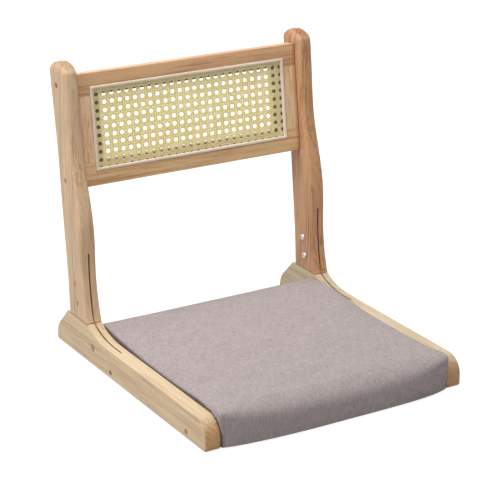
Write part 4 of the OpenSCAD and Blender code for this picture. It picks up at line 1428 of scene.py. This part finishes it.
# CAD nodes that stay, with better materials
KEPT = {"seat_board": plywood, "frame_dowels": dowel_wood, "seat_screws": zinc, "panel_screws": zinc}
KEPT.update(left_hinge_plate=oiled, right_hinge_plate=oiled)
for node, material in KEPT.items():
    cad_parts[node].data.materials.clear()
    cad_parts[node].data.materials.append(material)


# Camera, light and floor


def place_camera():
    """The photograph's view, found from measured points of the chair."""
    position = Vector((-1348.61, -2184.67, 1148.39)) * MM
    yaw, pitch, roll = 0.549603, -0.359358, 0.0079636
    focal_share = 1825.112 / 500
    ahead = Vector((math.cos(pitch) * math.sin(yaw), math.cos(pitch) * math.cos(yaw), math.sin(pitch)))
    level = ahead.cross(Vector((0, 0, 1))).normalized()
    upright = level.cross(ahead)
    right = math.cos(roll) * level + math.sin(roll) * upright
    up = math.cos(roll) * upright - math.sin(roll) * level
    data = bpy.data.cameras.new("camera")
    data.sensor_width = 36
    data.lens = focal_share * data.sensor_width
    data.clip_end = 20
    camera = bpy.data.objects.new("camera", data)
    bpy.context.scene.collection.objects.link(camera)
    camera.matrix_world = Matrix.Translation(position) @ Matrix((right, up, -ahead)).transposed().to_4x4()
    bpy.context.scene.camera = camera


def area_light(name, position, target, size, power):
    data = bpy.data.lights.new(name, "AREA")
    data.shape = "DISK"
    data.size = size
    data.energy = power
    lamp = bpy.data.objects.new(name, data)
    lamp.location = position
    way = Vector(target) - Vector(position)
    lamp.rotation_euler = way.to_track_quat("-Z", "Y").to_euler()
    bpy.context.scene.collection.objects.link(lamp)

def light_scene():
    for name, position, height, size, power in (
        ("top_light", (-0.5, 0.1, 2.6), 0.1, 1.8, 54),
        ("left_light", (-2.6, -0.3, 1.3), 0.2, 1.6, 20),
        ("front_light", (0.6, -3.0, 1.4), 0.2, 2.0, 5),
        ("right_light", (2.6, 0.5, 1.2), 0.2, 1.6, 6),
        ("back_light", (0.6, 3.0, 1.5), 0.2, 1.6, 12),
    ):
        area_light(name, position, (0, 0, height), size, power)
    world = bpy.data.worlds.new("studio")
    bpy.context.scene.world = world
    world.use_nodes = True
    w = Nodes(world.node_tree)
    ambient = w.make("ShaderNodeBackground", {"Color": (1, 0.985, 0.97, 1), "Strength": 0.25})
    white = w.make("ShaderNodeBackground", {"Color": (1, 1, 1, 1)})
    mix = w.make("ShaderNodeMixShader", {0: w.direct_rays(), 1: ambient, 2: white})
    w.make("ShaderNodeOutputWorld", {"Surface": mix})


def lay_floor():
    """A white floor that keeps the chair's soft shadow."""
    size = 6000
    corners = [(-size, -size, 0), (size, -size, 0), (size, size, 0), (-size, size, 0)]
    floor = make_mesh("floor", corners, [(0, 1, 2, 3)])
    material = bpy.data.materials.new("pale_floor")
    material.use_nodes = True
    f = Nodes(material.node_tree)
    plain = f.make("ShaderNodeBsdfDiffuse", {"Color": (0.5, 0.5, 0.5, 1)})
    shaded = f.make("ShaderNodeBsdfDiffuse", {"Color": (0.28, 0.28, 0.28, 1)})
    # The glow reaches pure white away from the chair
    place = f.make("ShaderNodeTexCoord").outputs["Object"]
    distance = f.make("ShaderNodeVectorMath", {0: place}, operation="LENGTH").outputs["Value"]
    reach = {"From Min": 0.6, "From Max": 2.0, "To Min": 0.87, "To Max": 1.0}
    fade = f.make("ShaderNodeMapRange", {"Value": distance, **reach})
    glow = f.make("ShaderNodeEmission", {"Strength": fade.outputs["Result"]})
    both = f.make("ShaderNodeAddShader", {0: shaded, 1: glow})
    mix = f.make("ShaderNodeMixShader", {0: f.direct_rays(), 1: plain, 2: both})
    f.make("ShaderNodeOutputMaterial", {"Surface": mix})
    floor.data.materials.append(material)
    floor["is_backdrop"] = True


place_camera()
light_scene()
lay_floor()
bpy.context.scene.view_settings.view_transform = "Standard"

visual_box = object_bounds()
for box in (cad_box, visual_box):
    json.dumps([[float(c) for c in corner] for corner in box]) + "\n"
